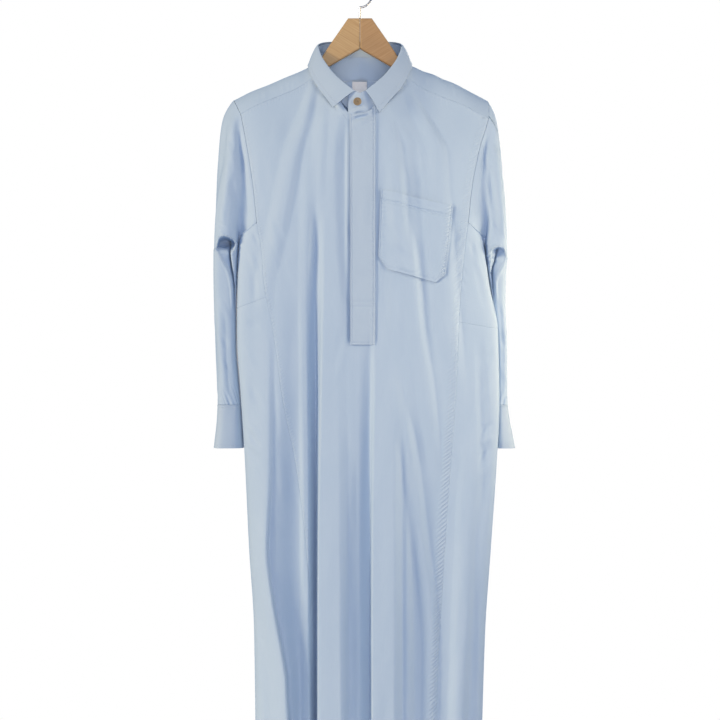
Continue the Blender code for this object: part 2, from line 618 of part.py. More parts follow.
def path(tab, k, sign=1.0):
    """Point at station k of a table of x, y, z."""
    return np.stack([sign * smooth(k, tab["k"], tab["x"]), smooth(k, tab["k"], tab["y"]),
                     smooth(k, tab["k"], tab["z"])], axis=-1)


def roll_at(angle):
    """Roll line above the neck seam's point at this angle."""
    turn = np.abs(angle)
    station = smooth(turn, (0, 0.36, 0.59, 0.8, 1.1, np.pi / 2, 2.3, np.pi),
                     (0, 1, 2, 3, 4, 5, 6, 7))
    point = path(ROLL, station)
    point[..., 0] *= np.sign(angle)
    front = turn < 0.36
    point[..., 0] = np.where(front, 74 * np.sin(angle), point[..., 0])
    return point


def collar_stand(finish):
    """Band standing on the neck seam; its right end laps over its left end at the front."""
    angle = np.concatenate([np.linspace(-STAND_OVERLAP, 0.3, 5),
                            np.linspace(0.3, 2 * np.pi - 0.45, 24)[1:],
                            np.linspace(2 * np.pi - 0.45, 2 * np.pi + 0.06, 5)[1:]])
    turn = (angle + np.pi) % (2 * np.pi) - np.pi
    foot = neck_ring(turn)
    head = roll_at(turn)
    v = np.linspace(0.05, 0.93, 3)[:, None, None]
    grid = head + (foot - head) * v
    over = np.clip((0.3 - angle) / 0.3, 0, 1)
    under = np.clip((angle - (2 * np.pi - 0.45)) / 0.3, 0, 1)
    grid[..., 1] += 2.6 * under - 0.6 * over
    sheet("collar_stand", grid, finish, wall=CLOTH)


def collar_fall(finish):
    """Turned-down leaf: from the roll line over and down to its outer edge."""
    k = np.linspace(0, 7, 16)
    v = np.array([0, 0.1, 0.3, 0.6, 1.0])[:, None, None]
    halves = []
    for side, sign in (("left", -1.0), ("right", 1.0)):
        inner = path(ROLL, k, sign)
        outer = path(FALL[side], k)
        away = outer - inner
        away[..., 2] = 0
        away = away / np.maximum(np.linalg.norm(away, axis=-1, keepdims=True), 1)
        first = inner + away + np.array([0, 0, 1.8])
        arch = inner + away * 3.5 + np.array([0, 0, 3.4])
        body = inner + (outer - inner) * 0.45 + away * 4.5
        grid = ((1 - v) ** 3 * first + 3 * v * (1 - v) ** 2 * arch
                + 3 * v * v * (1 - v) * body + v ** 3 * outer)
        halves.append(grid)
    grid = np.concatenate([halves[0], halves[1][:, -2::-1]], axis=1)
    sheet("collar_fall", grid, finish, wall=BAND)


# ---------------------------------------------------------------- what lies on the front

POCKET = dict(left_top=(36.0, -372.0), right_top=(160.5, -401.0), right_foot=(146.5, -520.0),
              left_foot=(31.5, -489.0), point=(112.0, -541.0), clip=18.0)


def placket_levels(top, foot):
    """Row heights from top to foot, level with the front panel's rows."""
    return np.concatenate([[top, -272], LEVELS[LEVELS > foot + 8], [foot]])


def placket(finish):
    """Band down the front opening."""
    x = np.linspace(PLACKET["left"], PLACKET["right"], 6)[None]
    z = placket_levels(PLACKET["top"], PLACKET["foot"])[:, None]
    out = CLOTH / 2 + BAND / 2 + LIFT
    sheet("placket", front_cloth(x, z, out), finish, wall=BAND)


def placket_under(finish):
    """Band behind the front opening, seen where the collar's ends part."""
    x = np.linspace(PLACKET["left"] - 10, PLACKET["right"] - 14, 5)[None]
    z = placket_levels(PLACKET["top"] - 2, PLACKET["foot"] + 20)[:, None]
    sheet("placket_under", front_cloth(x, z, -(CLOTH + LIFT)), finish)


def pocket(finish):
    """Patch pocket with clipped lower corners, a little slanted."""
    u = np.array([0, 0.07, 0.14, 0.28, 0.42, 0.58, 0.72, 0.86, 0.93, 1.0])[None]
    v = np.array([0, 0.2, 0.4, 0.6, 0.8, 1.0])[:, None]
    left = np.array(POCKET["left_top"]) + (np.array(POCKET["left_foot"]) - POCKET["left_top"]) * v
    right = np.array(POCKET["right_top"]) + (np.array(POCKET["right_foot"]) - POCKET["right_top"]) * v
    x = left[:, :1] + (right[:, :1] - left[:, :1]) * u
    z = left[:, 1:] + (right[:, 1:] - left[:, 1:]) * u
    drop = POCKET["clip"] * np.clip(np.minimum(u, 1 - u) / 0.14, 0, 1)
    z = z - drop * v ** 3
    out = CLOTH + LIFT
    sheet("pocket", front_cloth(x, z, out), finish)


def collar_button(finish):
    """Turned button with a raised rim, on the stand's end."""
    radius, rim, thick = 7.0, 5.6, 2.6
    centre_x, centre_z = -4.5, -219.0
    face_y = -82.4
    profile = ((0, 0.9), (rim, 0.9), (rim + 0.5, 0), (radius, 0.5), (radius, thick - 0.5),
               (radius - 0.8, thick), (0, thick))
    sides = 24
    turn = np.linspace(0, 2 * np.pi, sides, endpoint=False)
    points = [(centre_x, face_y + profile[0][1], centre_z)]
    for r, y in profile[1:-1]:
        points += [(centre_x + r * np.cos(a), face_y + y, centre_z + r * np.sin(a)) for a in turn]
    points.append((centre_x, face_y + thick, centre_z))
    faces = []
    rings = len(profile) - 2
    for c in range(sides):
        d = (c + 1) % sides
        faces.append((0, 1 + c, 1 + d))
        for r in range(rings - 1):
            a, b = 1 + r * sides, 1 + (r + 1) * sides
            faces.append((a + c, b + c, b + d, a + d))
        last = 1 + (rings - 1) * sides
        faces.append((last + c, len(points) - 1, last + d))
    item = add("collar_button", points, faces, finish)
    item.data.set_sharp_from_angle(angle=0.7)


def neck_label(finish):
    """Bare woven label hanging from the back yoke seam, inside."""
    x = np.linspace(-14.5, 12.7, 3)[None]
    z = np.linspace(-163.0, -198.0, 4)[:, None]
    sheet("neck_label", back_cloth(x, z, -(CLOTH + 2 * LIFT)), finish, wall=1.0)


# ---------------------------------------------------------------- hanger

WOOD_HALF = 6.0          # half the thickness of the arms
ARM = table(             # upper and lower edges of one arm against its distance from the centre
    "x    top     foot",
    (0.15, -60, -114.3), (21, -60, -126), (47, -97.5, -141), (56.6, -111.6, -146.5),
    (68.4, -129.5, -152), (79, -144.6, -157.5), (118, -163.5, -178), (153, -178, -198),
    (194, -194.5, -222), (212, -204, -232), (219, -211, -229))
HOOK = dict(wire=1.75, radius=20.75)


def hanger_arm(side, finish):
    """Flat sawn arm with its edges rounded over."""
    sign = -1.0 if side == "left" else 1.0
    rim = np.concatenate([np.stack([ARM["x"], ARM["top"]], axis=1),
                          np.stack([ARM["x"], ARM["foot"]], axis=1)[::-1]])
    count = len(rim)
    points = [(sign * x, y, z) for y in (-WOOD_HALF, WOOD_HALF) for x, z in rim]
    front = tuple(range(count))
    back = tuple(range(2 * count - 1, count - 1, -1))
    faces = [front, back]
    for c in range(count):
        d = (c + 1) % count
        faces.append((d, c, count + c, count + d))
    if side == "right":
        faces = [face[::-1] for face in faces]
    item = add(f"hanger_arm_{side}", points, faces, finish, smooth_shade=False)
    edge = item.modifiers.new("rounded", "BEVEL")
    edge.width = 2.2 * MM
    edge.segments = 2
    edge.limit_method = "ANGLE"
    edge.angle_limit = 1.0


def hanger_hook(finish):
    """Bent wire: a stem out of the wood, round over the rail to a free end."""
    sweep = np.radians(np.linspace(-90, 170, 27))
    r = HOOK["radius"]
    centre_z = HOOK["wire"] - r
    bend = [(r * np.cos(a), 0, centre_z + r * np.sin(a)) for a in sweep]
    neck = [(0, 0, z) for z in np.linspace(-59.6, centre_z - r - 6, 4)]
    route = neck + bend
    curve = bpy.data.curves.new("hanger_hook", "CURVE")
    curve.dimensions = "3D"
    curve.bevel_depth = HOOK["wire"] * MM
    curve.bevel_resolution = 2
    curve.use_fill_caps = True
    spline = curve.splines.new("POLY")
    spline.points.add(len(route) - 1)
    for dot, (x, y, z) in zip(spline.points, route):
        dot.co = (x * MM, y * MM, z * MM, 1)
    curve.materials.append(finish)
    item = bpy.data.objects.new("hanger_hook", curve)
    bpy.context.collection.objects.link(item)


# ---------------------------------------------------------------- build

def main():
    """Clear the scene and make every piece."""
    for item in list(bpy.data.objects):
        bpy.data.objects.remove(item, do_unlink=True)
    cotton = material("light_blue_cotton", (0.42, 0.52, 0.63), 0.75)
    band = material("light_blue_band", (0.40, 0.50, 0.61), 0.72)
    woven = material("white_label", (0.8, 0.83, 0.86), 0.8)
    shell = material("tan_button", (0.25, 0.19, 0.12), 0.4)
    pale_wood = material("pale_wood", (0.52, 0.37, 0.2), 0.5)
    wood = material("wood", (0.45, 0.3, 0.15), 0.5)
    steel = material("steel", (0.55, 0.55, 0.56), 0.3)
    steel.node_tree.nodes["Principled BSDF"].inputs["Metallic"].default_value = 1.0

    panel("front_panel", front_cloth, "seam_l", "seam_r", front_top, FRONT_COLUMNS, 6, cotton)
    panel("back_panel", back_cloth, "back_r", "back_l",
          lambda x: smooth(x, BACK_SEAM["x"], BACK_SEAM["z"]), BACK_COLUMNS, 5, cotton)
    for side in ("left", "right"):
        side_panels(side, cotton)
        sleeve(side, cotton)
        cuff(side, band)
    yoke(cotton)
    collar_stand(band)
    collar_fall(band)
    placket(band)
    placket_under(cotton)
    pocket(cotton)
    collar_button(shell)
    neck_label(woven)
    hanger_arm("left", pale_wood)
    hanger_arm("right", wood)
    hanger_hook(steel)


main()
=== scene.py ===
# %% [markdown]
# # A thobe robe on a wooden hanger
# The solids of this robe already exist as a fixed frame. This script dresses them: every cut
# piece of cloth becomes a thin shell on the same form, with finer folds, seams, puckers and
# stitching, and every piece gets the finish of the real one.

# %% Load the frame
import bpy
import numpy as np
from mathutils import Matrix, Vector


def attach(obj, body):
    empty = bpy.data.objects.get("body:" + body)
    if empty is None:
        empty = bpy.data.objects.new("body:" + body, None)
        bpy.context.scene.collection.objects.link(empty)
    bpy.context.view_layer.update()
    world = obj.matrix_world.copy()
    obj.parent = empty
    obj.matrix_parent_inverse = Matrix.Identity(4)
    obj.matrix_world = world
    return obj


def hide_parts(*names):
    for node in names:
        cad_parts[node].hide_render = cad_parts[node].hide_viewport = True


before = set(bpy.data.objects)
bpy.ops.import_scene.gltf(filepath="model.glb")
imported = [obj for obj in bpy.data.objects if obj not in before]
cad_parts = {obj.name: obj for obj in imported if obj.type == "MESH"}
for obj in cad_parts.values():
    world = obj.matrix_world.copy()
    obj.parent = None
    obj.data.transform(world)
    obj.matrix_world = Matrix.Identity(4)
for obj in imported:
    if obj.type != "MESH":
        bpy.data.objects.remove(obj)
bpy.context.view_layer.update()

MM = 0.001                   # tables are in millimetres, meshes in metres

# %% [markdown]
# ## Tables and smooth curves
# A garment is drafted from a few measurements at a few heights. Each table names its columns,
# and a cubic curve that never overshoots joins its rows, so no bump appears between two rows
# that wasn't asked for.

# %% Tables and curves
def table(names, *rows):
    """Columns by name from rows written top to bottom."""
    return dict(zip(names.split(), np.array(rows, float).T))


def tables(names, *sets):
    """A table for each set of rows, all with the same columns."""
    return tuple(table(names, *rows) for rows in sets)


def hermite(f, start, leaving, end, arriving):
    """Cubic at share f of the way from start to end, with these slopes at its two ends."""
    return ((1 + 2 * f) * (1 - f) ** 2 * start + f * (1 - f) ** 2 * leaving
            + f * f * (3 - 2 * f) * end - f * f * (1 - f) * arriving)


def smooth(at, knots, values):
    """Monotone cubic: slopes are the harmonic mean of the rises on both sides of a knot."""
    knots, values = np.asarray(knots, float), np.asarray(values, float)
    step = np.diff(knots)
    rise = np.diff(values) / step
    slope = np.empty_like(values)
    slope[0], slope[-1] = rise[0], rise[-1]
    pair = rise[:-1] * rise[1:]
    total = np.where(pair > 0, rise[:-1] + rise[1:], 1.0)
    slope[1:-1] = np.where(pair > 0, 2 * pair / total, 0.0)
    at = np.clip(at, knots[0], knots[-1])
    i = np.clip(np.searchsorted(knots, at) - 1, 0, len(knots) - 2)
    f = (at - knots[i]) / step[i]
    return hermite(f, values[i], step[i] * slope[i], values[i + 1], step[i] * slope[i + 1])


def read(tab, name, z):
    """Value of one column at height z."""
    return smooth(-np.asarray(z, float), -tab["z"], tab[name])


def ease(q):
    """Soft step from 0 to 1 as q goes from 0 to 1: three q squared less two q cubed."""
    q = np.clip(q, 0, 1)
    return q * q * (3 - 2 * q)


def bell(q):
    """Soft hump, 1 at q = 0 and 0 beyond q = 1: one less q squared, squared."""
    return np.clip(1 - q * q, 0, None) ** 2

# %% [markdown]
# ## The robe's form
# Below the shoulders a hanging robe is a tube. At each height its outline goes through twelve
# places: the front and back centres, half way out, the four long seams and the two sides. The
# half widths and depths there come from two tables, and a closed smooth curve joins them.

# %% Half widths and depths down the body
WIDTHS = table(
    "z     side_l  seam_l  seam_r  side_r  back_l  back_r",
    (-110, -232, -236, 250, 240, -236, 246),
    (-235, -226, -209.5, 228, 236, -212, 224),
    (-304, -212, -195.6, 207, 226, -190, 200),
    (-377, -200, -184.3, 193, 214, -177, 187),
    (-430, -202, -178.5, 187, 208, -170, 180),
    (-468, -210.5, -171.8, 182, 215, -166, 176),
    (-540, -213, -164.5, 175, 225, -160, 170),
    (-613, -213.5, -151, 169.6, 239, -153, 163),
    (-745, -206, -132, 164.4, 241.5, -141, 151),
    (-842, -200, -112.6, 157.4, 237, -133, 143),
    (-991, -193, -93.4, 147, 227, -122, 133),
    (-1143, -184, -84, 138, 217, -113, 126),
    (-1568, -180, -78, 118, 206, -98, 112))
DEPTHS = table(
    "z     front  mid_f  seam_f  side_l  side_r  seam_b  mid_b  back",
    (-110, -40, -12, -8, 0, 0, 8, 14, 52),
    (-160, -56, -24, -18, 0, 0, 18, 32, 61),
    (-205, -73, -39, -31, 0, 0, 30, 46, 66),
    (-237, -78, -51, -41, 0, 0, 37, 53, 69),
    (-304, -89, -75, -63, -14, -14, 52, 66, 76),
    (-377, -96, -88, -77, -34, -34, 64, 77, 82),
    (-430, -99, -95, -86, -60, -61, 73, 84, 86),
    (-540, -103, -101, -91, -66, -73, 82, 91, 93),
    (-760, -108, -107, -98, -67, -78, 88, 96, 98),
    (-1000, -112, -111, -103, -62, -74, 92, 101, 104),
    (-1568, -120, -118, -111, -54, -62, 100, 108, 112))
BODY_KNOTS = 12              # front centre, then round by the wearer's left to the back
FRONT_L, FRONT_R = -2, 2
SIDE_R, BACK_R, BACK_L, SIDE_L, SEAM_L = 3, 4, 8, 9, 10

# %% The tube through those measurements
def body_knots(z):
    """The outline's twelve places at height z: x and y of each."""
    w = {name: read(WIDTHS, name, z) for name in WIDTHS if name != "z"}
    d = {name: read(DEPTHS, name, z) for name in DEPTHS if name != "z"}
    xs = (0 * w["seam_l"], w["seam_r"] / 2, w["seam_r"], w["side_r"], w["back_r"],
          w["back_r"] / 2, 0 * w["seam_l"], w["back_l"] / 2, w["back_l"], w["side_l"],
          w["seam_l"], w["seam_l"] / 2)
    ys = (d["front"], d["mid_f"], d["seam_f"], d["side_r"], d["seam_b"], d["mid_b"], d["back"],
          d["mid_b"], d["seam_b"], d["side_l"], d["seam_f"], d["mid_f"])
    return np.stack([np.stack(xs), np.stack(ys)], axis=1)


def body_form(t, z):
    """Point, outward direction and length of the stretch between knots, at knot count t and
    height z: a Hermite curve whose slopes follow the line between a knot's two neighbours."""
    t, z = np.broadcast_arrays(np.asarray(t, float), np.asarray(z, float))
    knots = body_knots(z)
    i = np.floor(t).astype(int)
    f = (t - i)[None]

    def knot(k):
        return np.take_along_axis(knots, (k % BODY_KNOTS)[None, None], axis=0)[0]

    def heading(k):
        across = knot(k + 1) - knot(k - 1)
        return across / np.linalg.norm(across, axis=0)

    start, end = knot(i), knot(i + 1)
    chord = np.linalg.norm(end - start, axis=0)
    a, b = heading(i) * chord, heading(i + 1) * chord
    at = hermite(f, start, a, end, b)
    run = (6 * f * f - 6 * f) * (start - end) + (1 - 4 * f + 3 * f * f) * a + (3 * f * f - 2 * f) * b
    run = run / np.linalg.norm(run, axis=0)
    point = np.stack([at[0], at[1], z], axis=-1)
    out = np.stack([run[1], -run[0], 0 * z], axis=-1)
    return point, out, chord

# %% [markdown]
# ## Folds
# The weight of the cloth pulls it into long folds, drawn in two ways. The skirt's pleats are one
# profile across the robe: places with a height, which wander as they go down, joined by soft
# steps. Two places close together with very different heights are a wall, where one fold laps
# over the next. The others are single folds: a path down the cloth with a height and a reach to
# either side, under a soft bell.

# %% Pleats of the skirt
PLEAT_LEVELS = np.array([-330, -400, -461, -530, -599, -668, -736, -822, -908, -994, -1080,
                         -1166, -1218, -1568.0])
PLEATS = (               # each place: x at the levels above, then height at them
    ((-189, -189, -189, -189, -189, -189, -189, -189, -189, -188, -184, -172, -164, -150),
     (0, 0, 0, 0, 0, 0, 0, 0, 0, 0, 0, 0, 0, 0)),                        # where the facet starts
    ((-162, -162, -162, -162, -162, -160, -160, -160, -162, -165, -155, -139, -131, -118),
     (0, 0, 0, 1, 2, 3, 4, 5, 6, 7, 8, 9, 9, 9)),                        # crest of the facet
    ((-146, -146, -146, -146, -146, -146, -146, -148, -152, -158, -149, -133, -125, -112),
     (0, 0, 0, 0, 0, -1, -1, -2, -3, -4, -6, -9, -10, -11)),             # under its edge
    ((-108, -108, -108, -108, -108, -107, -107, -106, -105, -105, -105, -104, -103, -99),
     (0, 0, 0, -3, -7, -10, -13, -16, -19, -22, -25, -27, -28, -29)),    # foot of the slope
    ((-100, -100, -100, -100, -100, -99, -99, -98, -97, -97, -97, -97, -96, -93),
     (0, 0, 0, -2, -5, -8, -11, -13, -16, -19, -23, -25, -26, -27)),     # light ridge
    ((-94, -94, -94, -95, -94, -93, -92, -91, -91, -91, -91, -91, -90, -88),
     (0, 0, 0, -2, -5, -8, -11, -14, -17, -20, -23, -25, -26, -27)),     # its right edge
    ((-77, -77, -77, -77, -76, -76, -75.5, -75.5, -75, -75, -75, -75, -75, -75),
     (0, -3, -8, -12, -17, -23, -29, -36, -42, -48, -52, -54, -56, -58)),  # deep valley's floor
    ((-58, -58, -60, -61, -63, -64, -65, -66, -66.5, -67, -67.5, -67.5, -67.5, -68),
     (0, 0, 0, 1, 3, 4, 5, 6, 7, 7, 8, 8, 8, 8)),                        # top of its right wall
    ((-42, -42, -42, -42, -42, -42, -42, -39, -38, -37, -36, -36, -35, -33),
     (0, 0, 0, 0, 1, 2, 3, 5, 6, 6, 6, 6, 6, 6)),                        # end of the plateau
    ((-20, -20, -20, -20, -20, -20, -20, -19, -18, -18, -17, -17, -16, -15),
     (0, 0, 0, 0, 0, 0, 0, -1, -2, -5, -7, -9, -9, -9)),                 # first dip of the slope
    ((-4, -4, -4, -4, -4, -4, -4, -4, -4, -4, -3, -3, -3, -3),
     (0, 0, 0, 0, 0, -1, -1, -2, -5, -7, -9, -11, -11, -11)),            # low rib on it
    ((16, 16, 16, 16, 16, 16, 17, 17, 18, 18.5, 18.5, 18.5, 19, 19),
     (0, 0, 0, 0, 0, -3, -5, -8, -13, -17, -21, -24, -25, -26)),         # middle valley's floor
    ((30, 30, 30, 30, 29, 28, 27, 25.5, 24.5, 24, 23.5, 23.5, 23.5, 23.5),
     (0, 0, 0, 0, 1, 3, 4, 6, 8, 9, 10, 11, 11, 12)),                    # top of its right wall
    ((52, 52, 52, 52, 53, 54, 55, 56, 56, 57, 57, 57, 57, 57),
     (0, 0, 0, 0, 1, 3, 5, 7, 8, 9, 10, 11, 11, 12)),                    # right end of that ridge
    ((76, 76, 76, 76, 76, 76, 76, 76, 76, 76, 76, 76, 76, 76),
     (0, 0, 0, 0, 0, 0, -1, -3, -4, -6, -7, -8, -8, -8)),                # under its edge
    ((98, 98, 98, 98, 98, 98, 98, 98, 98, 98, 98, 98, 98, 96),
     (0, 0, 0, 0, 0, -1, -3, -8, -10, -13, -15, -16, -16, -16)),         # foot of the dark slope
    ((122, 122, 122, 122, 122, 122, 122, 120, 120, 120, 122, 122, 122, 118),
     (0, 0, 0, 0, 0, -1, -4, -8, -12, -14, -15, -15, -15, -15)),         # its lowest line
    ((196, 196, 196, 196, 196, 196, 196, 196, 194, 192, 188, 184, 182, 170),
     (0, 0, 0, 0, 0, 0, 0, 0, 0, 0, 0, 0, 0, 0)))
PLEAT_LEAN = {7: -4.0, 12: -2.5, 1: 2.5}      # how far a crest leans over, at full height


def pleat_offsets(x, z):
    """Height towards the viewer and sideways lean: a sum of soft steps between the places."""
    full = ease((-560 - z) / 420)
    across = [smooth(-z, -PLEAT_LEVELS, place[0]) for place in PLEATS]
    tall = [smooth(-z, -PLEAT_LEVELS, place[1]) for place in PLEATS]
    lean = [full * PLEAT_LEAN.get(i, 0.0) for i in range(len(PLEATS))]
    height, right = np.zeros(np.broadcast(x, z).shape), np.zeros(np.broadcast(x, z).shape)
    for i in range(len(PLEATS) - 1):
        step = ease((x - across[i]) / (across[i + 1] - across[i]))
        height += (tall[i + 1] - tall[i]) * step
        right += (lean[i + 1] - lean[i]) * step
    return height, right

# %% Single folds of the front, the sides and the back
FOLD = "z x height left right"
FRONT_FOLDS = tables(
    FOLD,
    # drag ridge from the collar's left
    ((-176, -80, 0, 10, 8), (-206, -86, 4, 16, 12), (-260, -99, 5.5, 22, 15),
     (-301, -111, 6, 26, 15), (-355, -122, 6, 28, 16), (-407, -132, 6, 28, 17),
     (-461, -143, 5, 28, 18), (-530, -160, 3, 24, 18), (-600, -168, 0, 20, 16)),
    # soft rise before the deep valley
    ((-300, -88, 0, 16, 16), (-355, -88, 2, 18, 16), (-407, -91, 3, 18, 16),
     (-461, -91, 3, 18, 16), (-540, -94, 0, 14, 14)),
    # faint second ridge on the left chest
    ((-210, -62, 0, 12, 12), (-270, -66, 3, 18, 12), (-360, -70, 3, 18, 12),
     (-430, -72, 0, 16, 12)),
    # trough along the placket's left edge
    ((-244, -24, -2, 14, 5), (-300, -26, -5, 20, 6), (-460, -26, -3.5, 18, 5),
     (-600, -20, 0, 12, 5)),
    # long crease over the right chest to the seam
    ((-320, 62, 0, 20, 16), (-355, 66, 4, 26, 17), (-407, 68, 4, 26, 18),
     (-461, 79, 5, 26, 18), (-530, 91, 5, 26, 18), (-599, 97, 5, 26, 18),
     (-668, 107, 5, 26, 18), (-736, 117, 5, 24, 17), (-822, 126, 4, 20, 15),
     (-908, 132, 0, 18, 14)),
    # longer one from the ridge to the hem
    ((-700, 60, 0, 18, 14), (-736, 66, 2, 20, 15), (-822, 86, 5, 22, 16),
     (-908, 97, 6, 22, 16), (-994, 107, 7, 22, 16), (-1080, 119, 6, 22, 16),
     (-1166, 124, 6, 20, 15), (-1568, 116, 6, 20, 15)),
    # low rib inside the dark slope
    ((-900, 74, 0, 12, 10), (-994, 80, 2.5, 14, 10), (-1166, 84, 4, 14, 10),
     (-1568, 82, 4, 14, 10)),
    # drag ridge from the collar's right
    ((-190, 82, 0, 14, 10), (-230, 104, 4, 22, 12), (-271, 126, 5.5, 26, 14),
     (-301, 138, 6, 28, 16), (-355, 140, 5.5, 28, 18), (-407, 143, 5, 28, 18),
     (-470, 146, 5, 28, 20), (-540, 152, 5, 28, 20), (-600, 158, 5, 28, 20),
     (-668, 164, 4, 26, 20), (-745, 172, 0, 24, 20)),
    # soft rise beside the placket's right edge
    ((-248, 54, 0, 16, 10), (-300, 60, 4, 24, 16), (-400, 64, 4.5, 26, 20),
     (-520, 66, 4, 26, 20), (-640, 66, 0, 22, 16)),
    # valley between that and the drag ridge
    ((-270, 96, 0, 12, 10), (-330, 98, -2.5, 16, 12), (-460, 104, -3, 16, 14),
     (-600, 112, -2.5, 16, 14), (-700, 122, 0, 14, 12)))
SIDE_FOLDS = tables(
    FOLD,
    # soft ridge of the right side panel
    ((-720, 190, 0, 14, 16), (-860, 186, 3, 18, 20), (-1030, 178, 4, 20, 22),
     (-1568, 158, 8, 22, 24)),
    # hollow by the right side pocket
    ((-620, 205, 0, 12, 12), (-720, 212, -4, 14, 12), (-860, 214, -4, 14, 12),
     (-980, 208, 0, 12, 12)),
    # low fold that runs down to the hem
    ((-980, 206, 0, 12, 10), (-1160, 196, -4, 16, 12), (-1568, 184, -7, 18, 14)))
BACK_FOLDS = tables(
    FOLD,
    ((-420, -116, 0, 18, 18), (-640, -108, 7, 20, 18), (-1568, -92, 15, 24, 20)),
    ((-360, -70, 0, 16, 18), (-600, -62, -7, 20, 16), (-1568, -50, -18, 22, 14)),
    ((-480, -22, 0, 20, 20), (-800, -18, 8, 22, 20), (-1568, -8, 14, 24, 20)),
    ((-520, 30, 0, 18, 18), (-760, 32, -8, 20, 16), (-1568, 34, -17, 22, 14)),
    ((-400, 84, 0, 18, 20), (-700, 78, 7, 22, 20), (-1568, 76, 15, 24, 20)),
    ((-440, 132, 0, 18, 18), (-760, 124, -6, 20, 18), (-1568, 116, -12, 24, 18)),
    ((-200, -60, 0, 14, 14), (-260, -84, 5, 18, 14), (-380, -120, 4, 20, 18),
     (-470, -140, 0, 18, 16)),
    ((-200, 64, 0, 14, 14), (-270, 90, 5, 14, 18), (-390, 128, 4, 18, 20),
     (-480, 148, 0, 16, 18)))


def fold_height(folds, x, z):
    """How far the folds move a point out: each a bell across its own path."""
    height = np.zeros(np.broadcast(x, z).shape)
    for fold in folds:
        away = x - read(fold, "x", z)
        reach = np.where(away < 0, read(fold, "left", z), read(fold, "right", z))
        height += np.where(z < fold["z"][0], read(fold, "height", z), 0) * bell(away / reach)
    return height


print("pleat places:", len(PLEATS), " single folds:", len(FRONT_FOLDS + SIDE_FOLDS + BACK_FOLDS))

# %% [markdown]
# ## Small creases and puckers
# Between the long folds the cloth has short creases: drag lines from the collar and the pocket,
# wrinkles at the pocket mouths, and puckers where a seam's thread draws the cloth together. A
# crease is a straight stroke with a depth and a width, and fades towards both ends. Puckers are
# a wave along the seam whose beat changes as it goes, strongest at the seam itself.

# %% Creases, seam grooves and puckers
CREASE = "x0 z0 x1 z1 height width"
FRONT_CREASES = table(
    CREASE,
    (-62, -250, -84, -380, -0.8, 6), (-44, -262, -60, -400, 0.7, 8), (-36, -300, -40, -470, -0.8, 8),
    (60, -258, 84, -330, -0.8, 6), (66, -250, 96, -310, 0.9, 6), (-118, -225, -132, -300, -0.8, 7),
    (-140, -232, -152, -310, 0.7, 8), (-60, -420, -66, -620, -0.8, 9), (-40, -480, -44, -640, 0.8, 10),
    (-30, -600, -44, -700, -1.2, 6), (-26, -630, -42, -720, 1.0, 7), (34, -500, 44, -620, -0.8, 8),
    (60, -540, 56, -680, 0.9, 10), (120, -556, 140, -640, -1.0, 8), (136, -560, 150, -660, 1.0, 8),
    (-150, -420, -128, -470, -1.4, 5), (-156, -440, -130, -500, 1.2, 6), (-146, -470, -120, -540, -1.0, 7),
    (172, -440, 150, -480, -1.2, 6), (176, -470, 156, -520, 1.0, 7), (-170, -300, -160, -400, -0.8, 8),
    (180, -260, 172, -380, -0.9, 8), (-104, -600, -112, -760, 0.9, 10), (-50, -900, -52, -1100, 0.8, 9),
    (36, -900, 38, -1120, -0.8, 9), (-24, -1060, -20, -1260, 0.8, 9), (44, -1180, 46, -1400, -0.9, 9))
SIDE_CREASES = table(
    CREASE,
    (-200, -600, -170, -612, -1.6, 5), (-204, -640, -176, -690, 1.2, 6), (-196, -700, -168, -760, -1.6, 6),
    (-200, -770, -170, -806, 1.8, 5), (-203, -778, -172, -822, -2.0, 5), (-202, -800, -166, -838, 1.8, 5),
    (-199, -812, -170, -846, -1.6, 5), (-196, -835, -168, -880, 1.2, 6), (-150, -700, -146, -820, -1.2, 7),
    (-140, -820, -130, -930, 1.4, 7), (-160, -900, -150, -1010, -1.4, 6), (-186, -500, -180, -580, -1.4, 6),
    (-196, -470, -176, -520, 1.4, 5), (-190, -440, -172, -475, -1.6, 4), (-176, -1060, -168, -1200, -1.4, 6),
    (-160, -1240, -152, -1420, -1.4, 6), (-110, -1040, -104, -1200, 1.4, 5),
    (-118, -1220, -112, -1400, -1.4, 6),
    (190, -455, 202, -500, -1.6, 4), (196, -470, 212, -530, 1.4, 5), (200, -500, 216, -580, -1.4, 5),
    (232, -640, 210, -690, -1.6, 6), (234, -700, 206, -748, 1.2, 6), (236, -770, 204, -800, -1.8, 5),
    (234, -796, 206, -815, 1.8, 5), (232, -812, 200, -846, -1.8, 5), (230, -838, 200, -880, 1.4, 6),
    (190, -700, 180, -830, -1.2, 7), (176, -860, 168, -990, 1.2, 7), (206, -900, 196, -1060, -1.2, 7),
    (180, -1040, 172, -1200, -1.4, 7), (166, -1160, 158, -1340, 1.2, 7), (196, -1200, 186, -1400, 1.2, 7))
BACK_CREASES = table(
    CREASE,
    (-60, -230, -84, -360, -1.6, 6), (-30, -240, -36, -420, 1.2, 7), (28, -250, 34, -430, -1.2, 7),
    (66, -230, 92, -360, 1.6, 6), (-120, -300, -132, -420, -1.4, 6), (124, -310, 136, -430, 1.4, 6),
    (-90, -560, -94, -760, 1.4, 7), (-40, -620, -36, -820, -1.4, 7), (10, -560, 12, -780, 1.2, 7),
    (56, -600, 60, -800, -1.4, 7), (104, -600, 102, -800, 1.2, 7), (-70, -900, -66, -1120, -1.4, 7),
    (14, -940, 12, -1160, -1.4, 7), (60, -980, 56, -1200, 1.4, 7), (96, -900, 92, -1100, -1.4, 7),
    (-110, -900, -104, -1120, 1.2, 7), (-24, -1200, -20, -1420, 1.4, 7), (44, -1240, 48, -1440, -1.4, 7))

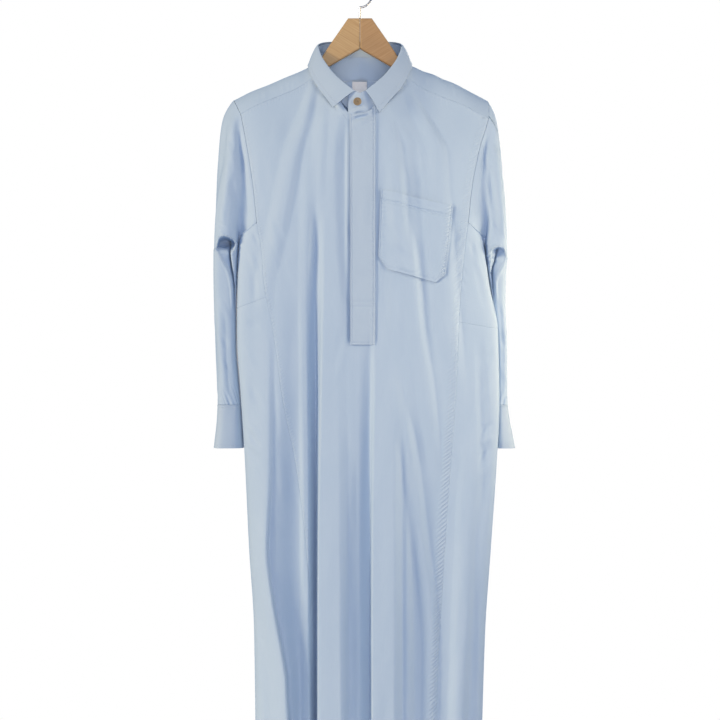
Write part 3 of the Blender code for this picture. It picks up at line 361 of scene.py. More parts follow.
# %% What creases and seams add
def crease_height(strokes, x, z):
    """Sum of soft strokes: a bell across each and a soft fade along it."""
    height = np.zeros(np.broadcast(x, z).shape)
    for x0, z0, x1, z1, tall, width in zip(*(strokes[name] for name in CREASE.split())):
        run = np.hypot(x1 - x0, z1 - z0)
        ex, ez = (x1 - x0) / run, (z1 - z0) / run
        along = ((x - x0) * ex + (z - z0) * ez) / run
        across = (x - x0) * ez - (z - z0) * ex
        height += tall * bell(2 * along - 1) * bell(across / (1.6 * width))
    return height


def uneven_wave(s, beat):
    """Wave of about that many millimetres a beat, its spacing and height never quite the same."""
    turn = 2 * np.pi / beat
    slow = np.sin(s * turn * 0.23 + 1.3) + 0.6 * np.sin(s * turn * 0.11 + 0.4)
    return np.sin(s * turn + 1.8 * slow) * (0.65 + 0.35 * np.sin(s * turn * 0.31 + 2.0))


def seam_height(t, z, chord):
    """Groove and puckers beside the four long seams, from the distance to each in millimetres."""
    height = np.zeros(t.shape)
    for knot, pucker, slant in ((FRONT_R, 1.2, 0.9), (SEAM_L, 0.4, -0.5),
                                (BACK_R, 0.6, 0.6), (BACK_L, 0.6, -0.6)):
        off = (t - knot + BODY_KNOTS / 2) % BODY_KNOTS - BODY_KNOTS / 2
        away = off * chord
        height -= 0.25 * bell(away / 1.8)
        below = ease((-250 - z) / 60)
        wave = uneven_wave(z + slant * np.abs(away), 23.0)
        near = np.where(away < 0, bell((-away - 5) / 8), 0.45 * bell((away - 4) / 6))
        uneven = 0.5 + 0.3 * np.sin(z / 47) + 0.5 * ease((-700 - z) / 600)
        height += pucker * below * wave * near * uneven
    return height


print("short creases:", sum(len(c["x0"]) for c in (FRONT_CREASES, SIDE_CREASES, BACK_CREASES)))

# %% Points of the cloth
def body_cloth(t, z, lift=0.0):
    """Plain form, plus folds, creases, seam grooves and puckers, then moved out by lift; the
    pleats push straight to the front, so that their walls stay steep."""
    point, out, chord = body_form(t, z)
    x, z = point[..., 0], point[..., 2]
    t = np.broadcast_to(t, x.shape)
    front = out[..., 1] < 0
    facing = np.abs(out[..., 1]) ** 1.5
    turned = np.clip(np.abs(out[..., 1]) * 1.6, 0, 1)
    sides = fold_height(SIDE_FOLDS, x, z) * turned
    small = crease_height(FRONT_CREASES, x, z) + crease_height(SIDE_CREASES, x, z)
    back = fold_height(BACK_FOLDS, x, z) + crease_height(BACK_CREASES, x, z)
    height = np.where(front, (fold_height(FRONT_FOLDS, x, z) + small) * facing + sides,
                      back * facing + 0.5 * sides)
    height = height + seam_height(t, z, chord) + lift
    pleat, aside = pleat_offsets(x, z)
    ahead = ease(-1.6 * out[..., 1])
    point = point + out * height[..., None]
    point[..., 0] += aside * ahead
    point[..., 1] -= pleat * ahead
    return point


def knot_at(x, z, low, high):
    """Knot count between low and high at which the plain form has this x, by halving."""
    x, z = np.broadcast_arrays(np.asarray(x, float), np.asarray(z, float))
    a, b = np.full(x.shape, float(low)), np.full(x.shape, float(high))
    rising = high < BACK_R
    for _ in range(22):
        middle = (a + b) / 2
        beyond = (body_form(middle, z)[0][..., 0] > x) == rising
        a, b = np.where(beyond, a, middle), np.where(beyond, middle, b)
    return (a + b) / 2


def front_cloth(x, z, lift=0.0):
    """Point of the front cloth at x and z."""
    return body_cloth(knot_at(x, z, FRONT_L, FRONT_R), z, lift)


def back_cloth(x, z, lift=0.0):
    """Point of the back cloth at x and z."""
    return body_cloth(knot_at(x, z, BACK_R, BACK_L), z, lift)

# %% [markdown]
# ## Meshes from grids
# A cut piece is a grid of points: rows down the cloth, columns across it. One maker turns any
# grid into a mesh with a whole-array index sum, gives it a map in real millimetres so that
# threads follow the cloth, and lets Solidify add the wall. Sewing thread is a row of small
# eight-sided stitches laid along a line.

# %% Cloth from a grid
CLOTH = 1.2              # cloth wall
BAND = 1.6               # two layers pressed together: collar, cuffs, placket
ROLLED = 0.8             # how far an edge rolls over


def new_object(name, points, corners, sizes, finish):
    """Mesh object from point, corner and face-size arrays, in millimetres."""
    mesh = bpy.data.meshes.new(name)
    mesh.vertices.add(len(points))
    mesh.vertices.foreach_set("co", (np.asarray(points, float) * MM).ravel())
    mesh.loops.add(len(corners))
    mesh.loops.foreach_set("vertex_index", corners)
    mesh.polygons.add(len(sizes))
    mesh.polygons.foreach_set("loop_start", np.concatenate([[0], np.cumsum(sizes)[:-1]]))
    mesh.materials.append(finish)
    mesh.update(calc_edges=True)
    mesh.shade_smooth()
    item = bpy.data.objects.new(name, mesh)
    bpy.context.collection.objects.link(item)
    return item


def cloth_map(grid):
    """Distance along each row from its middle, and down each column from its top."""
    across = np.linalg.norm(np.diff(grid, axis=1), axis=-1)
    down = np.linalg.norm(np.diff(grid, axis=0), axis=-1)
    u = np.concatenate([np.zeros((len(grid), 1)), np.cumsum(across, axis=1)], axis=1)
    v = np.concatenate([np.zeros((1, grid.shape[1])), np.cumsum(down, axis=0)], axis=0)
    return u - u[:, -1:] / 2, -v


def rolled(fields, axis):
    """Fields with one more line of points just inside both ends, so that edges look rolled."""
    fields = [np.moveaxis(f, axis, 0) for f in fields]
    grid = fields[0]
    near, far = (np.minimum(ROLLED / np.maximum(np.linalg.norm(grid[b] - grid[a], axis=-1), 1e-6), 0.5)
                 for a, b in ((0, 1), (-1, -2)))
    more = []
    for f in fields:
        a, b = (near[..., None], far[..., None]) if f.ndim == 3 else (near, far)
        f = np.concatenate([f[:1], (f[0] + (f[1] - f[0]) * a)[None], f[1:-1],
                            (f[-1] + (f[-2] - f[-1]) * b)[None], f[-1:]])
        more.append(np.moveaxis(f, 0, axis))
    return more


def sheet(name, grid, finish, wall=CLOTH, closed=False, pull=None):
    """A grid of points as cloth with a wall; closed joins the last column to the first. Pull
    is how strongly thread puckers each point, and where it lies along the seam."""
    fields = rolled([grid, *(pull or ())], 0)
    grid, *pulls = fields if closed else rolled(fields, 1)
    full = np.concatenate([grid, grid[:, :1]], axis=1) if closed else grid
    u, v = cloth_map(full)
    rows, columns = grid.shape[:2]
    r, c = np.meshgrid(np.arange(rows - 1), np.arange(full.shape[1] - 1), indexing="ij")
    ring = [(r, c), (r + 1, c), (r + 1, c + 1), (r, c + 1)]
    corners = np.stack([a * columns + b % columns for a, b in ring], axis=-1).ravel()
    item = new_object(name, grid.reshape(-1, 3), corners, np.full(r.size, 4), finish)
    flat = np.stack([np.stack([u[a, b], v[a, b]], axis=-1) for a, b in ring], axis=2)
    item.data.uv_layers.new(name="cloth").data.foreach_set("uv", flat.ravel())
    if pulls:
        flat = np.stack([np.stack([q[a, b] for q in pulls], axis=-1) for a, b in ring], axis=2)
        item.data.uv_layers.new(name="pull").data.foreach_set("uv", flat.ravel())
    skin = item.modifiers.new("wall", "SOLIDIFY")
    skin.thickness = wall * MM
    skin.offset = 0
    return item


def sheet_area(grid, closed=False):
    """Area of the cloth in square metres: every grid cell's diagonals crossed, halved."""
    full = np.concatenate([grid, grid[:, :1]], axis=1) if closed else grid
    one, two = full[1:, 1:] - full[:-1, :-1], full[1:, :-1] - full[:-1, 1:]
    return float(np.linalg.norm(np.cross(one, two), axis=-1).sum() / 2 * MM * MM)

# %% Stitches
def along_line(line, step):
    """Points every step millimetres along a line of points, and the heading at each."""
    line = np.asarray(line, float)
    far = np.concatenate([[0], np.cumsum(np.linalg.norm(np.diff(line, axis=0), axis=1))])
    at = np.arange(step / 2, far[-1], step)
    spots = np.stack([np.interp(at, far, line[:, i]) for i in range(3)], axis=1)
    ahead = np.stack([np.interp(at + 0.5, far, line[:, i]) for i in range(3)], axis=1)
    behind = np.stack([np.interp(at - 0.5, far, line[:, i]) for i in range(3)], axis=1)
    run = ahead - behind
    return spots, run / np.maximum(np.linalg.norm(run, axis=1, keepdims=True), 1e-9)


def stitches(name, lines, finish, out=(0, -1, 0), pitch=3.0, length=2.2, width=0.55, high=0.35):
    """Thread on each line: a long diamond for every stitch, two ends, two sides, top, bottom."""
    spots, runs = zip(*(along_line(line, pitch) for line in lines))
    spot, run = np.concatenate(spots), np.concatenate(runs)
    up = np.broadcast_to(np.asarray(out, float), spot.shape)
    up = up - run * np.sum(up * run, axis=1, keepdims=True)
    up = up / np.linalg.norm(up, axis=1, keepdims=True)
    side = np.cross(run, up)
    points = np.stack([spot - run * length / 2, spot + run * length / 2, spot - side * width / 2,
                       spot + side * width / 2, spot + up * high, spot - up * high], axis=1)
    one = np.array([(0, 2, 4), (2, 1, 4), (1, 3, 4), (3, 0, 4),
                    (2, 0, 5), (1, 2, 5), (3, 1, 5), (0, 3, 5)])
    corners = (np.arange(len(spot))[:, None, None] * 6 + one[None]).ravel()
    return new_object(name, points.reshape(-1, 3), corners, np.full(len(corners) // 3, 3), finish)

# %% Turned pieces and rods
def closed_rings(name, rings, ends, finish):
    """Rings of points joined by four-sided faces, and closed by a point at both ends."""
    count, sides = rings.shape[:2]
    r, c = np.meshgrid(np.arange(count - 1), np.arange(sides), indexing="ij")
    d = (c + 1) % sides
    walls = np.stack([r * sides + c, r * sides + d, (r + 1) * sides + d, (r + 1) * sides + c], axis=-1)
    c, d = c[0], d[0]
    first, top = count * sides, (count - 1) * sides
    caps = np.stack([[d, c, c * 0 + first], [top + c, top + d, c * 0 + first + 1]])
    corners = np.concatenate([walls.ravel(), np.moveaxis(caps, 1, 2).ravel()])
    sizes = np.concatenate([np.full(r.size, 4), np.full(2 * sides, 3)])
    return new_object(name, np.vstack([rings.reshape(-1, 3), ends]), corners, sizes, finish)


def rod(name, line, radius, finish, sides=20):
    """Round bar: a circle round every point of a line, square to the line there."""
    run = np.gradient(line, axis=0)
    run /= np.linalg.norm(run, axis=1, keepdims=True)
    side = np.cross(run, (0, 1, 0))
    side /= np.linalg.norm(side, axis=1, keepdims=True)
    rise = np.cross(side, run)
    turn = np.linspace(0, 2 * np.pi, sides, endpoint=False)[:, None]
    ring = side[:, None] * np.cos(turn) + rise[:, None] * np.sin(turn)
    return closed_rings(name, line[:, None] + ring * radius[:, None, None], line[[0, -1]], finish)

# %% [markdown]
# ## Finishes
# The robe is mercerised cotton poplin: a close plain weave of fine threads, with a soft silky
# sheen and no nap. Real threads lie 0.2 mm apart, too fine to see from three metres, so the weave
# is drawn a few times coarser and very low, with long faint slubs across it. Everything is
# worked out from the cloth's own map, so the threads bend with the folds.

# %% Colours and one node helper
def srgb(code):
    """Linear colour from a hex code, by the sRGB curve."""
    part = np.array([int(code[i:i + 2], 16) / 255 for i in (1, 3, 5)])
    linear = np.where(part <= 0.04045, part / 12.92, ((part + 0.055) / 1.055) ** 2.4)
    return (*linear.tolist(), 1.0)


def node(tree, kind, settings=(), links=()):
    """Add a node; settings are attribute or socket values, links go from other sockets to it."""
    made = tree.nodes.new("ShaderNode" + kind)
    for name, value in dict(settings).items():
        if isinstance(name, str) and hasattr(made, name):
            setattr(made, name, value)
        else:
            made.inputs[name].default_value = value
    for name, source in dict(links).items():
        tree.links.new(source, made.inputs[name])
    return made


def finish_named(name):
    """A new material with its shader and node tree."""
    made = bpy.data.materials.new(name)
    made.use_nodes = True
    return made, made.node_tree, made.node_tree.nodes["Principled BSDF"]


def set_shader(shader, **values):
    """Set the shader's own sockets by name, with spaces written as underscores."""
    for name, value in values.items():
        shader.inputs[name.replace("_", " ")].default_value = value

# %% Mercerised poplin: fine ribs and slubs, soft sheen
THREAD = 1.1             # drawn spacing; the real threads lie about 0.2 mm apart
PUCKER = 7.0             # beat of the puckers that a seam's thread draws
BEAT = 0.314             # a wave's bands lie this far apart, divided by its Scale


def poplin(name, light, shade, rib=1.0):
    """Plain weave on the cloth's map: two crossed waves as bump, slubs and wear in the colour."""
    made, tree, shader = finish_named(name)
    place = node(tree, "UVMap", {"uv_map": "cloth"}).outputs["UV"]
    warp, weft = (node(tree, "TexWave", {"bands_direction": way, "Scale": BEAT / THREAD,
                       "Distortion": 0.6, "Detail": 1.0, "Detail Scale": 0.3},
                       {"Vector": place}).outputs["Fac"] for way in "XY")
    weave = node(tree, "Math", {"operation": "MULTIPLY"}, {0: warp, 1: weft}).outputs[0]
    drawn_out = [node(tree, "Mapping", {"Scale": scale}, {"Vector": place}).outputs["Vector"]
                 for scale in ((0.55, 0.035, 1), (0.03, 0.4, 1))]
    slub = node(tree, "TexNoise", {"Scale": 1.0, "Detail": 3.0, "Roughness": 0.6},
                {"Vector": drawn_out[0]}).outputs["Fac"]
    weft_slub = node(tree, "TexNoise", {"Scale": 1.0, "Detail": 2.0},
                     {"Vector": drawn_out[1]}).outputs["Fac"]
    patch = node(tree, "TexNoise", {"Scale": 0.012, "Detail": 2.0}, {"Vector": place}).outputs["Fac"]
    tone = node(tree, "MapRange", {"From Min": 0.3, "From Max": 0.7, "To Min": 0.35, "To Max": 0.65},
                {"Value": slub}).outputs["Result"]
    broad = node(tree, "MapRange", {"From Min": 0.35, "From Max": 0.65, "To Max": 0.35},
                 {"Value": patch}).outputs["Result"]
    toned = node(tree, "Mix", {"data_type": "RGBA", 6: srgb(shade), 7: srgb(light)}, {0: tone})
    worn = node(tree, "Mix", {"data_type": "RGBA", 7: srgb(shade)}, {0: broad, 6: toned.outputs[2]})
    tree.links.new(worn.outputs[2], shader.inputs["Base Color"])
    relief = node(tree, "Math", {"operation": "ADD"}, {0: slub, 1: weft_slub}).outputs[0]
    small = node(tree, "Bump", {"Strength": 0.12 * rib, "Distance": 0.25 * MM},
                 {"Height": weave}).outputs["Normal"]
    soft = node(tree, "Bump", {"Strength": 0.25 * rib, "Distance": 0.5 * MM},
                {"Height": relief, "Normal": small}).outputs["Normal"]
    pull = node(tree, "UVMap", {"uv_map": "pull"}).outputs["UV"]
    strength = node(tree, "SeparateXYZ", {}, {"Vector": pull}).outputs["X"]
    beats = node(tree, "TexWave", {"bands_direction": "Y", "Scale": BEAT / PUCKER, "Distortion": 2.5,
                 "Detail": 1.0, "Detail Scale": 1.0}, {"Vector": pull}).outputs["Fac"]
    drawn = node(tree, "Math", {"operation": "MULTIPLY"}, {0: beats, 1: strength}).outputs[0]
    pulled = node(tree, "Bump", {"Strength": 1.0, "Distance": 0.8 * MM},
                  {"Height": drawn, "Normal": soft}).outputs["Normal"]
    tree.links.new(pulled, shader.inputs["Normal"])
    set_shader(shader, Roughness=0.62, Sheen_Weight=0.35, Sheen_Roughness=0.35,
               Specular_IOR_Level=0.2, Sheen_Tint=(0.42, 0.68, 1.0, 1.0))
    return made


cotton = poplin("light_blue_mercerised_poplin", "#abc0da", "#9fb7d4")
pressed_cotton = poplin("light_blue_poplin_fused_and_pressed", "#a9bdd6", "#9fb5d0", rib=0.6)
# The inside poplin is the same cloth, painted lighter and bluer than the outside: painted light standing in
# for the light that hardly reaches the under layers.
cotton_inside_painted_lighter = poplin("light_blue_poplin_painted_lighter_inside", "#b8d0f0", "#aec8ec")

# %% Sewing thread, button, label, wood and wire
def plain_finish(name, colour, spots, scale, bump, **values):
    """Even finish with a noise of two tones and a low bump, on Object coordinates."""
    made, tree, shader = finish_named(name)
    place = node(tree, "TexCoord").outputs["Object"]
    grain = node(tree, "TexNoise", {"Scale": scale, "Detail": 3.0},
                 {"Vector": place}).outputs["Fac"]
    two_tone = node(tree, "Mix", {"data_type": "RGBA", 6: srgb(colour), 7: srgb(spots)}, {0: grain})
    tree.links.new(two_tone.outputs[2], shader.inputs["Base Color"])
    raised = node(tree, "Bump", {"Strength": bump, "Distance": 0.2 * MM},
                  {"Height": grain}).outputs["Normal"]
    tree.links.new(raised, shader.inputs["Normal"])
    set_shader(shader, **values)
    return made


thread = plain_finish("spun_polyester_thread", "#9fb3cb", "#b9c7d8", 3000, 0.2,
                      Roughness=0.5, Sheen_Weight=0.4)
button_resin = plain_finish("turned_polyester_button_resin", "#8a7a62", "#756750", 260, 0.05,
                            Roughness=0.5, Coat_Weight=0.1, Coat_Roughness=0.3)
dark_thread = plain_finish("button_sewing_thread", "#5b5140", "#6e624d", 3000, 0.2, Roughness=0.7)
spring_wire = plain_finish("zinc_plated_spring_wire", "#b9bbbd", "#a7a9ab", 400, 0.05,
                           Roughness=0.27, Metallic=1.0)

# %% Woven tape and beech
def woven_tape(name):
    """White damask tape: fine ribs across the tape, as woven labels have, every 0.9 mm."""
    made, tree, shader = finish_named(name)
    place = node(tree, "UVMap", {"uv_map": "cloth"}).outputs["UV"]
    ribs = node(tree, "TexWave", {"bands_direction": "Y", "Scale": 0.35,
                "Distortion": 0.4}, {"Vector": place}).outputs["Fac"]
    cloud = node(tree, "TexNoise", {"Scale": 0.35, "Detail": 3.0},
                 {"Vector": place}).outputs["Fac"]
    white = node(tree, "Mix", {"data_type": "RGBA", 6: srgb("#d9dfe6"), 7: srgb("#e9edf1")}, {0: cloud})
    tree.links.new(white.outputs[2], shader.inputs["Base Color"])
    raised = node(tree, "Bump", {"Strength": 0.4, "Distance": 0.2 * MM},
                  {"Height": ribs}).outputs["Normal"]
    tree.links.new(raised, shader.inputs["Normal"])
    set_shader(shader, Roughness=0.55, Sheen_Weight=0.3)
    return made


def beech(name, light, dark, slope):
    """Lacquered beech: grain lines 1.6 mm apart running down the arm, and short brown flecks."""
    made, tree, shader = finish_named(name)
    place = node(tree, "TexCoord").outputs["Object"]
    turned = node(tree, "Mapping", {"Rotation": (0, slope, 0)},
                  {"Vector": place}).outputs["Vector"]
    drawn = node(tree, "Mapping", {"Scale": (14, 160, 620)},
                 {"Vector": turned}).outputs["Vector"]
    grain = node(tree, "TexNoise", {"Scale": 1.0, "Detail": 4.0, "Roughness": 0.6,
                 "Distortion": 0.3}, {"Vector": drawn}).outputs["Fac"]
    fine = node(tree, "Mapping", {"Scale": (120, 900, 1500)},
                {"Vector": turned}).outputs["Vector"]
    fleck = node(tree, "TexNoise", {"Scale": 1.0, "Detail": 2.0},
                 {"Vector": fine}).outputs["Fac"]
    bands = node(tree, "MapRange", {"From Min": 0.32, "From Max": 0.68},
                 {"Value": grain}).outputs["Result"]
    specks = node(tree, "MapRange", {"From Min": 0.62, "From Max": 0.75, "To Max": 0.5},
                  {"Value": fleck}).outputs["Result"]
    grained = node(tree, "Mix", {"data_type": "RGBA", 6: srgb(dark), 7: srgb(light)}, {0: bands})
    flecked = node(tree, "Mix", {"data_type": "RGBA", 7: srgb(dark)},
                   {0: specks, 6: grained.outputs[2]})
    tree.links.new(flecked.outputs[2], shader.inputs["Base Color"])
    raised = node(tree, "Bump", {"Strength": 0.15, "Distance": 0.2 * MM},
                  {"Height": grain}).outputs["Normal"]
    tree.links.new(raised, shader.inputs["Normal"])
    set_shader(shader, Roughness=0.42, Coat_Weight=0.25, Coat_Roughness=0.3)
    return made


label_tape = woven_tape("white_woven_damask_tape")
beech_left = beech("lacquered_beech_left_arm", "#b79c72", "#a08156", -0.55)
beech_right = beech("lacquered_beech_right_arm", "#a88961", "#927047", 0.55)
print("finishes:", len(bpy.data.materials))

# %% [markdown]
# ## Front, back and side panels
# The front is cut in one width, slit from the neck to the placket's foot. The back hangs from
# the yoke. Under each arm a small gusset lets the arm rise, and below it a front and a back
# side panel widen the skirt. Each panel is a grid whose columns share the width between two
# seams, closer together near the seams, where puckers need them.

# %% Where the panels end
SEAM_GAP = 0.14          # each edge stops this far short of its seam line
HEM_Z = -1568.0
UNDERARM_Z = -430.0
NECK_HALF = 77.0
NECK_FRONT_Z, NECK_SIDE_Z, NECK_BACK_Z = -237.0, -139.5, -121.0
NECK_BACK_Y = 50.0
YOKE_NECK_X = 68.5
PLACKET = dict(left=-16.5, right=26.0, top=-244.0, foot=-641.5)
POCKET = dict(left_top=(36.0, -372.0), right_top=(160.5, -401.0), right_foot=(146.5, -520.0),
              left_foot=(31.5, -489.0), clip=18.0)
YOKE_SEAM = table(
    "x    z",
    (-240, -252), (-208.8, -235.2), (-180.9, -219.9), (-147.3, -205.4), (-106.8, -187.1),
    (-88.8, -174.5), (-68.5, -159.5), (68.5, -159.5), (86.5, -173.4), (105.9, -187.1),
    (146.4, -205.4), (182.2, -219.9), (204.4, -232.9), (228.9, -244), (245, -252))
BACK_SEAM = table(
    "x    z",
    (-240, -250), (-212, -236), (-150, -198), (-80, -170), (0, -161), (80, -170), (150, -198),
    (224, -240), (245, -250))


def neck_height(x):
    """Height of the front neck seam at x: a flattened arc."""
    c = np.sqrt(np.clip(1 - (x / NECK_HALF) ** 2, 0, 1))
    return NECK_SIDE_Z + (NECK_FRONT_Z - NECK_SIDE_Z) * c ** 2.2


def neck_dip(x):
    """How far the buttoned front hangs below its arc, most at the open left corner."""
    return 3.5 * bell(x / 45) + 6.0 * bell((x + 17) / 18)


def front_top(x):
    """Upper edge of the front: yoke seam, neck seam with the open corner, yoke seam."""
    seam = smooth(x, YOKE_SEAM["x"], YOKE_SEAM["z"])
    return np.where(np.abs(x) < YOKE_NECK_X, neck_height(x) - neck_dip(x), seam)


def back_top(x):
    """Upper edge of the back, along the yoke."""
    return smooth(x, BACK_SEAM["x"], BACK_SEAM["z"])


def neck_ring(angle):
    """Neck seam at an angle from the front centre, positive to the right."""
    angle = np.asarray(angle, float)
    c = np.cos(angle)
    x = NECK_HALF * np.sin(angle)
    corner = np.sqrt(1 - (YOKE_NECK_X / NECK_HALF) ** 2)
    z = np.where(c > 0, NECK_SIDE_Z + (NECK_FRONT_Z - NECK_SIDE_Z) * np.abs(c) ** 2.2,
                 NECK_SIDE_Z + (NECK_BACK_Z - NECK_SIDE_Z) * np.abs(c) ** 1.5)
    inner = np.clip(x, -YOKE_NECK_X, YOKE_NECK_X)
    on_front = front_cloth(inner, neck_height(inner))[..., 1]
    y = np.where(c > corner, on_front, np.where(c > 0, on_front * c / corner, -NECK_BACK_Y * c))
    return np.stack([x, y, z], axis=-1)

# %% Dips of the front under what is sewn on it
def pocket_place(u, v):
    """x and z at shares u across and v down: a slanted four-sided patch, corners clipped."""
    corner = {name: np.array(POCKET[name]) for name in POCKET if name != "clip"}
    left = corner["left_top"] + (corner["left_foot"] - corner["left_top"]) * v[..., None]
    right = corner["right_top"] + (corner["right_foot"] - corner["right_top"]) * v[..., None]
    x, z = np.moveaxis(left + (right - left) * u[..., None], -1, 0)
    drop = POCKET["clip"] * np.clip(np.minimum(u, 1 - u) / 0.14, 0, 1)
    return x, z - drop * v ** 3


def edge_trough(x, z):
    """Dip of the front beside the placket's open left edge and its stitched right edge."""
    live = ease((z - PLACKET["foot"]) / 12) * ease((PLACKET["top"] + 4 - z) / 12)
    return live * (4.0 * bell((x - PLACKET["left"] + 0.8) / 5.2)
                   + 0.7 * bell((x - PLACKET["right"] - 1.5) / 5))


def line_distance(x, z, line_x, line_z):
    """Distance from each place to the nearest point of a line of points."""
    return np.hypot(x[..., None] - line_x, z[..., None] - line_z).min(axis=-1)


def pocket_trough(x, z):
    """Dip of the front along the pocket's sewn edges, from the distance to its outline."""
    way = np.linspace(0, 1, 60)
    edge = pocket_place(np.concatenate([0 * way, way, 0 * way + 1]),
                        np.concatenate([way, 0 * way + 1, way[::-1]]))
    return 1.5 * bell(line_distance(x, z, *edge) / 5)


LEAF_EDGES = (           # x and z of four places along each leaf's lower edge
    ((-87.5, -160), (-79.5, -181.5), (-62, -205.5), (-43.5, -225)),
    ((87.5, -154), (81, -178.5), (61.5, -201.5), (31.5, -233)))


def collar_trough(x, z):
    """Dip of the front along the lower edges of the collar's leaves, from the distance to them."""
    depth = 0 * x
    for line in LEAF_EDGES:
        edge = (smooth(np.linspace(0, 3, 50), (0, 1, 2, 3), side) for side in zip(*line))
        depth = depth + 3.4 * bell(line_distance(x, z, *edge) / 4.5)
    return depth * ease((front_top(x) - z - 2) / 10)

# %% Rows and columns of a panel
def shares(count, length, gap=SEAM_GAP):
    """Fractions 0 to 1 of a length, closer together at both ends."""
    even = np.linspace(0, 1, count)
    s = 0.6 * even + 0.4 * (0.5 - 0.5 * np.cos(np.pi * even))
    return gap / length + s * (1 - 2 * gap / length)


def row_heights(start, *stretches):
    """Heights from start downwards: each stretch is the height it ends at and its spacing."""
    rows = [np.array([start])]
    for end, spacing in stretches:
        count = max(int(round((rows[-1][-1] - end) / spacing)), 1)
        rows.append(np.linspace(rows[-1][-1], end, count + 1)[1:])
    return np.concatenate(rows)


def panel_grid(left, right, top, columns, rows):
    """x and z of a panel whose top edge is curved: rows below start from it and level out."""
    s = shares(columns, 300)[None]

    def across(z):
        start = read(WIDTHS, left, z)
        return start + (read(WIDTHS, right, z) - start) * s

    z = np.full(s.shape, rows[0])
    for _ in range(12):
        z = top(across(z))
    start = z - SEAM_GAP
    down = (rows - rows[0]) / (rows[-1] - rows[0])
    level = ease((rows[0] - rows) / 170)[:, None]
    z = (1 - level) * (start + (rows[:, None] - rows[0])) + level * rows[:, None]
    z = np.minimum(z, start - 0.001 * down[:, None])
    return across(z), z

# %% Front panel
def front_pull(x, z):
    """Puckers left of the right long seam, faint ones by the left seam and under the yoke."""
    right = read(WIDTHS, "seam_r", z) - x
    left = x - read(WIDTHS, "seam_l", z)
    down = front_top(x) - z
    below = ease((-235 - z) / 30)
    strong = below * ((0.28 + 0.72 * ease((-560 - z) / 500)) * bell((right - 7) / 13)
                      + 0.3 * bell((left - 3) / 9))
    yoke_pull = 0.22 * bell((down - 4) / 9) * (np.abs(x) > 70) * (strong < 0.05)
    along = z + 0.8 * right + 7 * np.sin(z / 60)
    return strong + yoke_pull, np.where(yoke_pull > 0, 1.3 * x, along)


x, z = panel_grid("seam_l", "seam_r", front_top, 176,
                  row_heights(-160, (-330, 3.2), (-700, 4.6), (HEM_Z, 7.5)))
front_grid = front_cloth(x, z, -edge_trough(x, z) - pocket_trough(x, z) - collar_trough(x, z))
front = sheet("robe_front", front_grid, cotton, pull=front_pull(x, z))
print("front panel rows, columns:", x.shape, "area m2:", round(sheet_area(front_grid), 3))

# %% Back panel
x, z = panel_grid("back_r", "back_l", back_top, 96,
                  row_heights(-160, (-330, 4.5), (-700, 6), (HEM_Z, 8)))
back_grid = back_cloth(x, z)
back = sheet("robe_back", back_grid, cotton)
print("back panel rows, columns:", x.shape, "area m2:", round(sheet_area(back_grid), 3))

# %% [markdown]
# ## Gussets and side panels
# The side seams don't run straight: the gusset's lower seam crosses the side at the height of
# the waist, and the panels below it flare. Both halves share the knots of the body's form, so
# one function of knot count and height gives them all.

# %% Gussets and side panels
GUSSETS = {
    "left": dict(knots=(SEAM_L, SIDE_L, BACK_L), top=(-430, -449, -430), foot=(-559, -577, -559)),
    "right": dict(knots=(FRONT_R, SIDE_R, BACK_R), top=(-430, -449, -430),
                  foot=(-602, -614, -602))}


def side_heights(side, edge, t):
    """Height of a gusset's upper or lower seam at knot count t."""
    way = np.abs(np.asarray(t, float) - GUSSETS[side]["knots"][0])
    return smooth(way, (0, 1, 2), GUSSETS[side][edge])


def cross_groove(z, seam_z):
    """Groove along a seam that crosses the cloth."""
    return -0.3 * bell((z - seam_z) / 3.0)


side_grids = {}
for side in ("left", "right"):
    ahead, mid, behind = GUSSETS[side]["knots"]
    t = ahead + (behind - ahead) * shares(64, 200)
    t = t[::-1] if side == "right" else t
    top, foot = side_heights(side, "top", t), side_heights(side, "foot", t)
    v = np.linspace(0, 1, 44)[:, None]
    z = top - SEAM_GAP + (foot - top + SEAM_GAP + 0.02) * v
    side_grids[f"gusset_{side}"] = body_cloth(t[None] + 0 * z, z, cross_groove(z, foot[None]))
    for piece, start, end, columns in (("side_front", ahead, mid, 52), ("side_back", mid, behind, 44)):
        t = start + (end - start) * shares(columns, 130)
        t = t[::-1] if side == "right" else t
        foot = side_heights(side, "foot", t)
        v = np.concatenate([np.linspace(0, 0.25, 60), np.linspace(0.25, 1, 112)[1:]])[:, None]
        z = foot - 0.02 + (HEM_Z - foot + 0.02) * v
        side_grids[f"{piece}_{side}"] = body_cloth(t[None] + 0 * z, z, cross_groove(z, foot[None]))

sides = {name: sheet("robe_" + name, grid, cotton) for name, grid in side_grids.items()}
print({name: round(sheet_area(grid), 3) for name, grid in side_grids.items()})

# %% [markdown]
# ## Yoke
# The yoke is one piece over both shoulders and behind the neck. It hangs over the hanger's
# arms, so each string from its front seam to its back seam is an arch over the crest: a
# quadratic curve whose middle point is pulled up until the arch passes through the crest.

# %% Yoke
YOKE = {
    "left": table("k  front  ridge_x  ridge_y  ridge_z  back",
                  (0, -209.5, -224.5, 0, -206, -212), (1, -165, -170, 0, -181, -172),
                  (2, -115, -120, 0, -160.5, -132), (3, -YOKE_NECK_X, -83, 2, -143.5, -100),
                  (4, -NECK_HALF, -85, 22, -147, -80), (5, -54, -56, 45, -142, -42),
                  (6, 0, 0, 58, -141, 0)),
    "right": table("k  front  ridge_x  ridge_y  ridge_z  back",
                   (0, 227.5, 227, 0, -208, 224), (1, 172, 172, 0, -178.5, 178),
                   (2, 118, 120, 0, -156.5, 136), (3, YOKE_NECK_X, 83, 2, -142, 100),
                   (4, NECK_HALF, 85, 22, -146, 80), (5, 54, 56, 45, -142, 42),
                   (6, 0, 0, 58, -141, 0))}


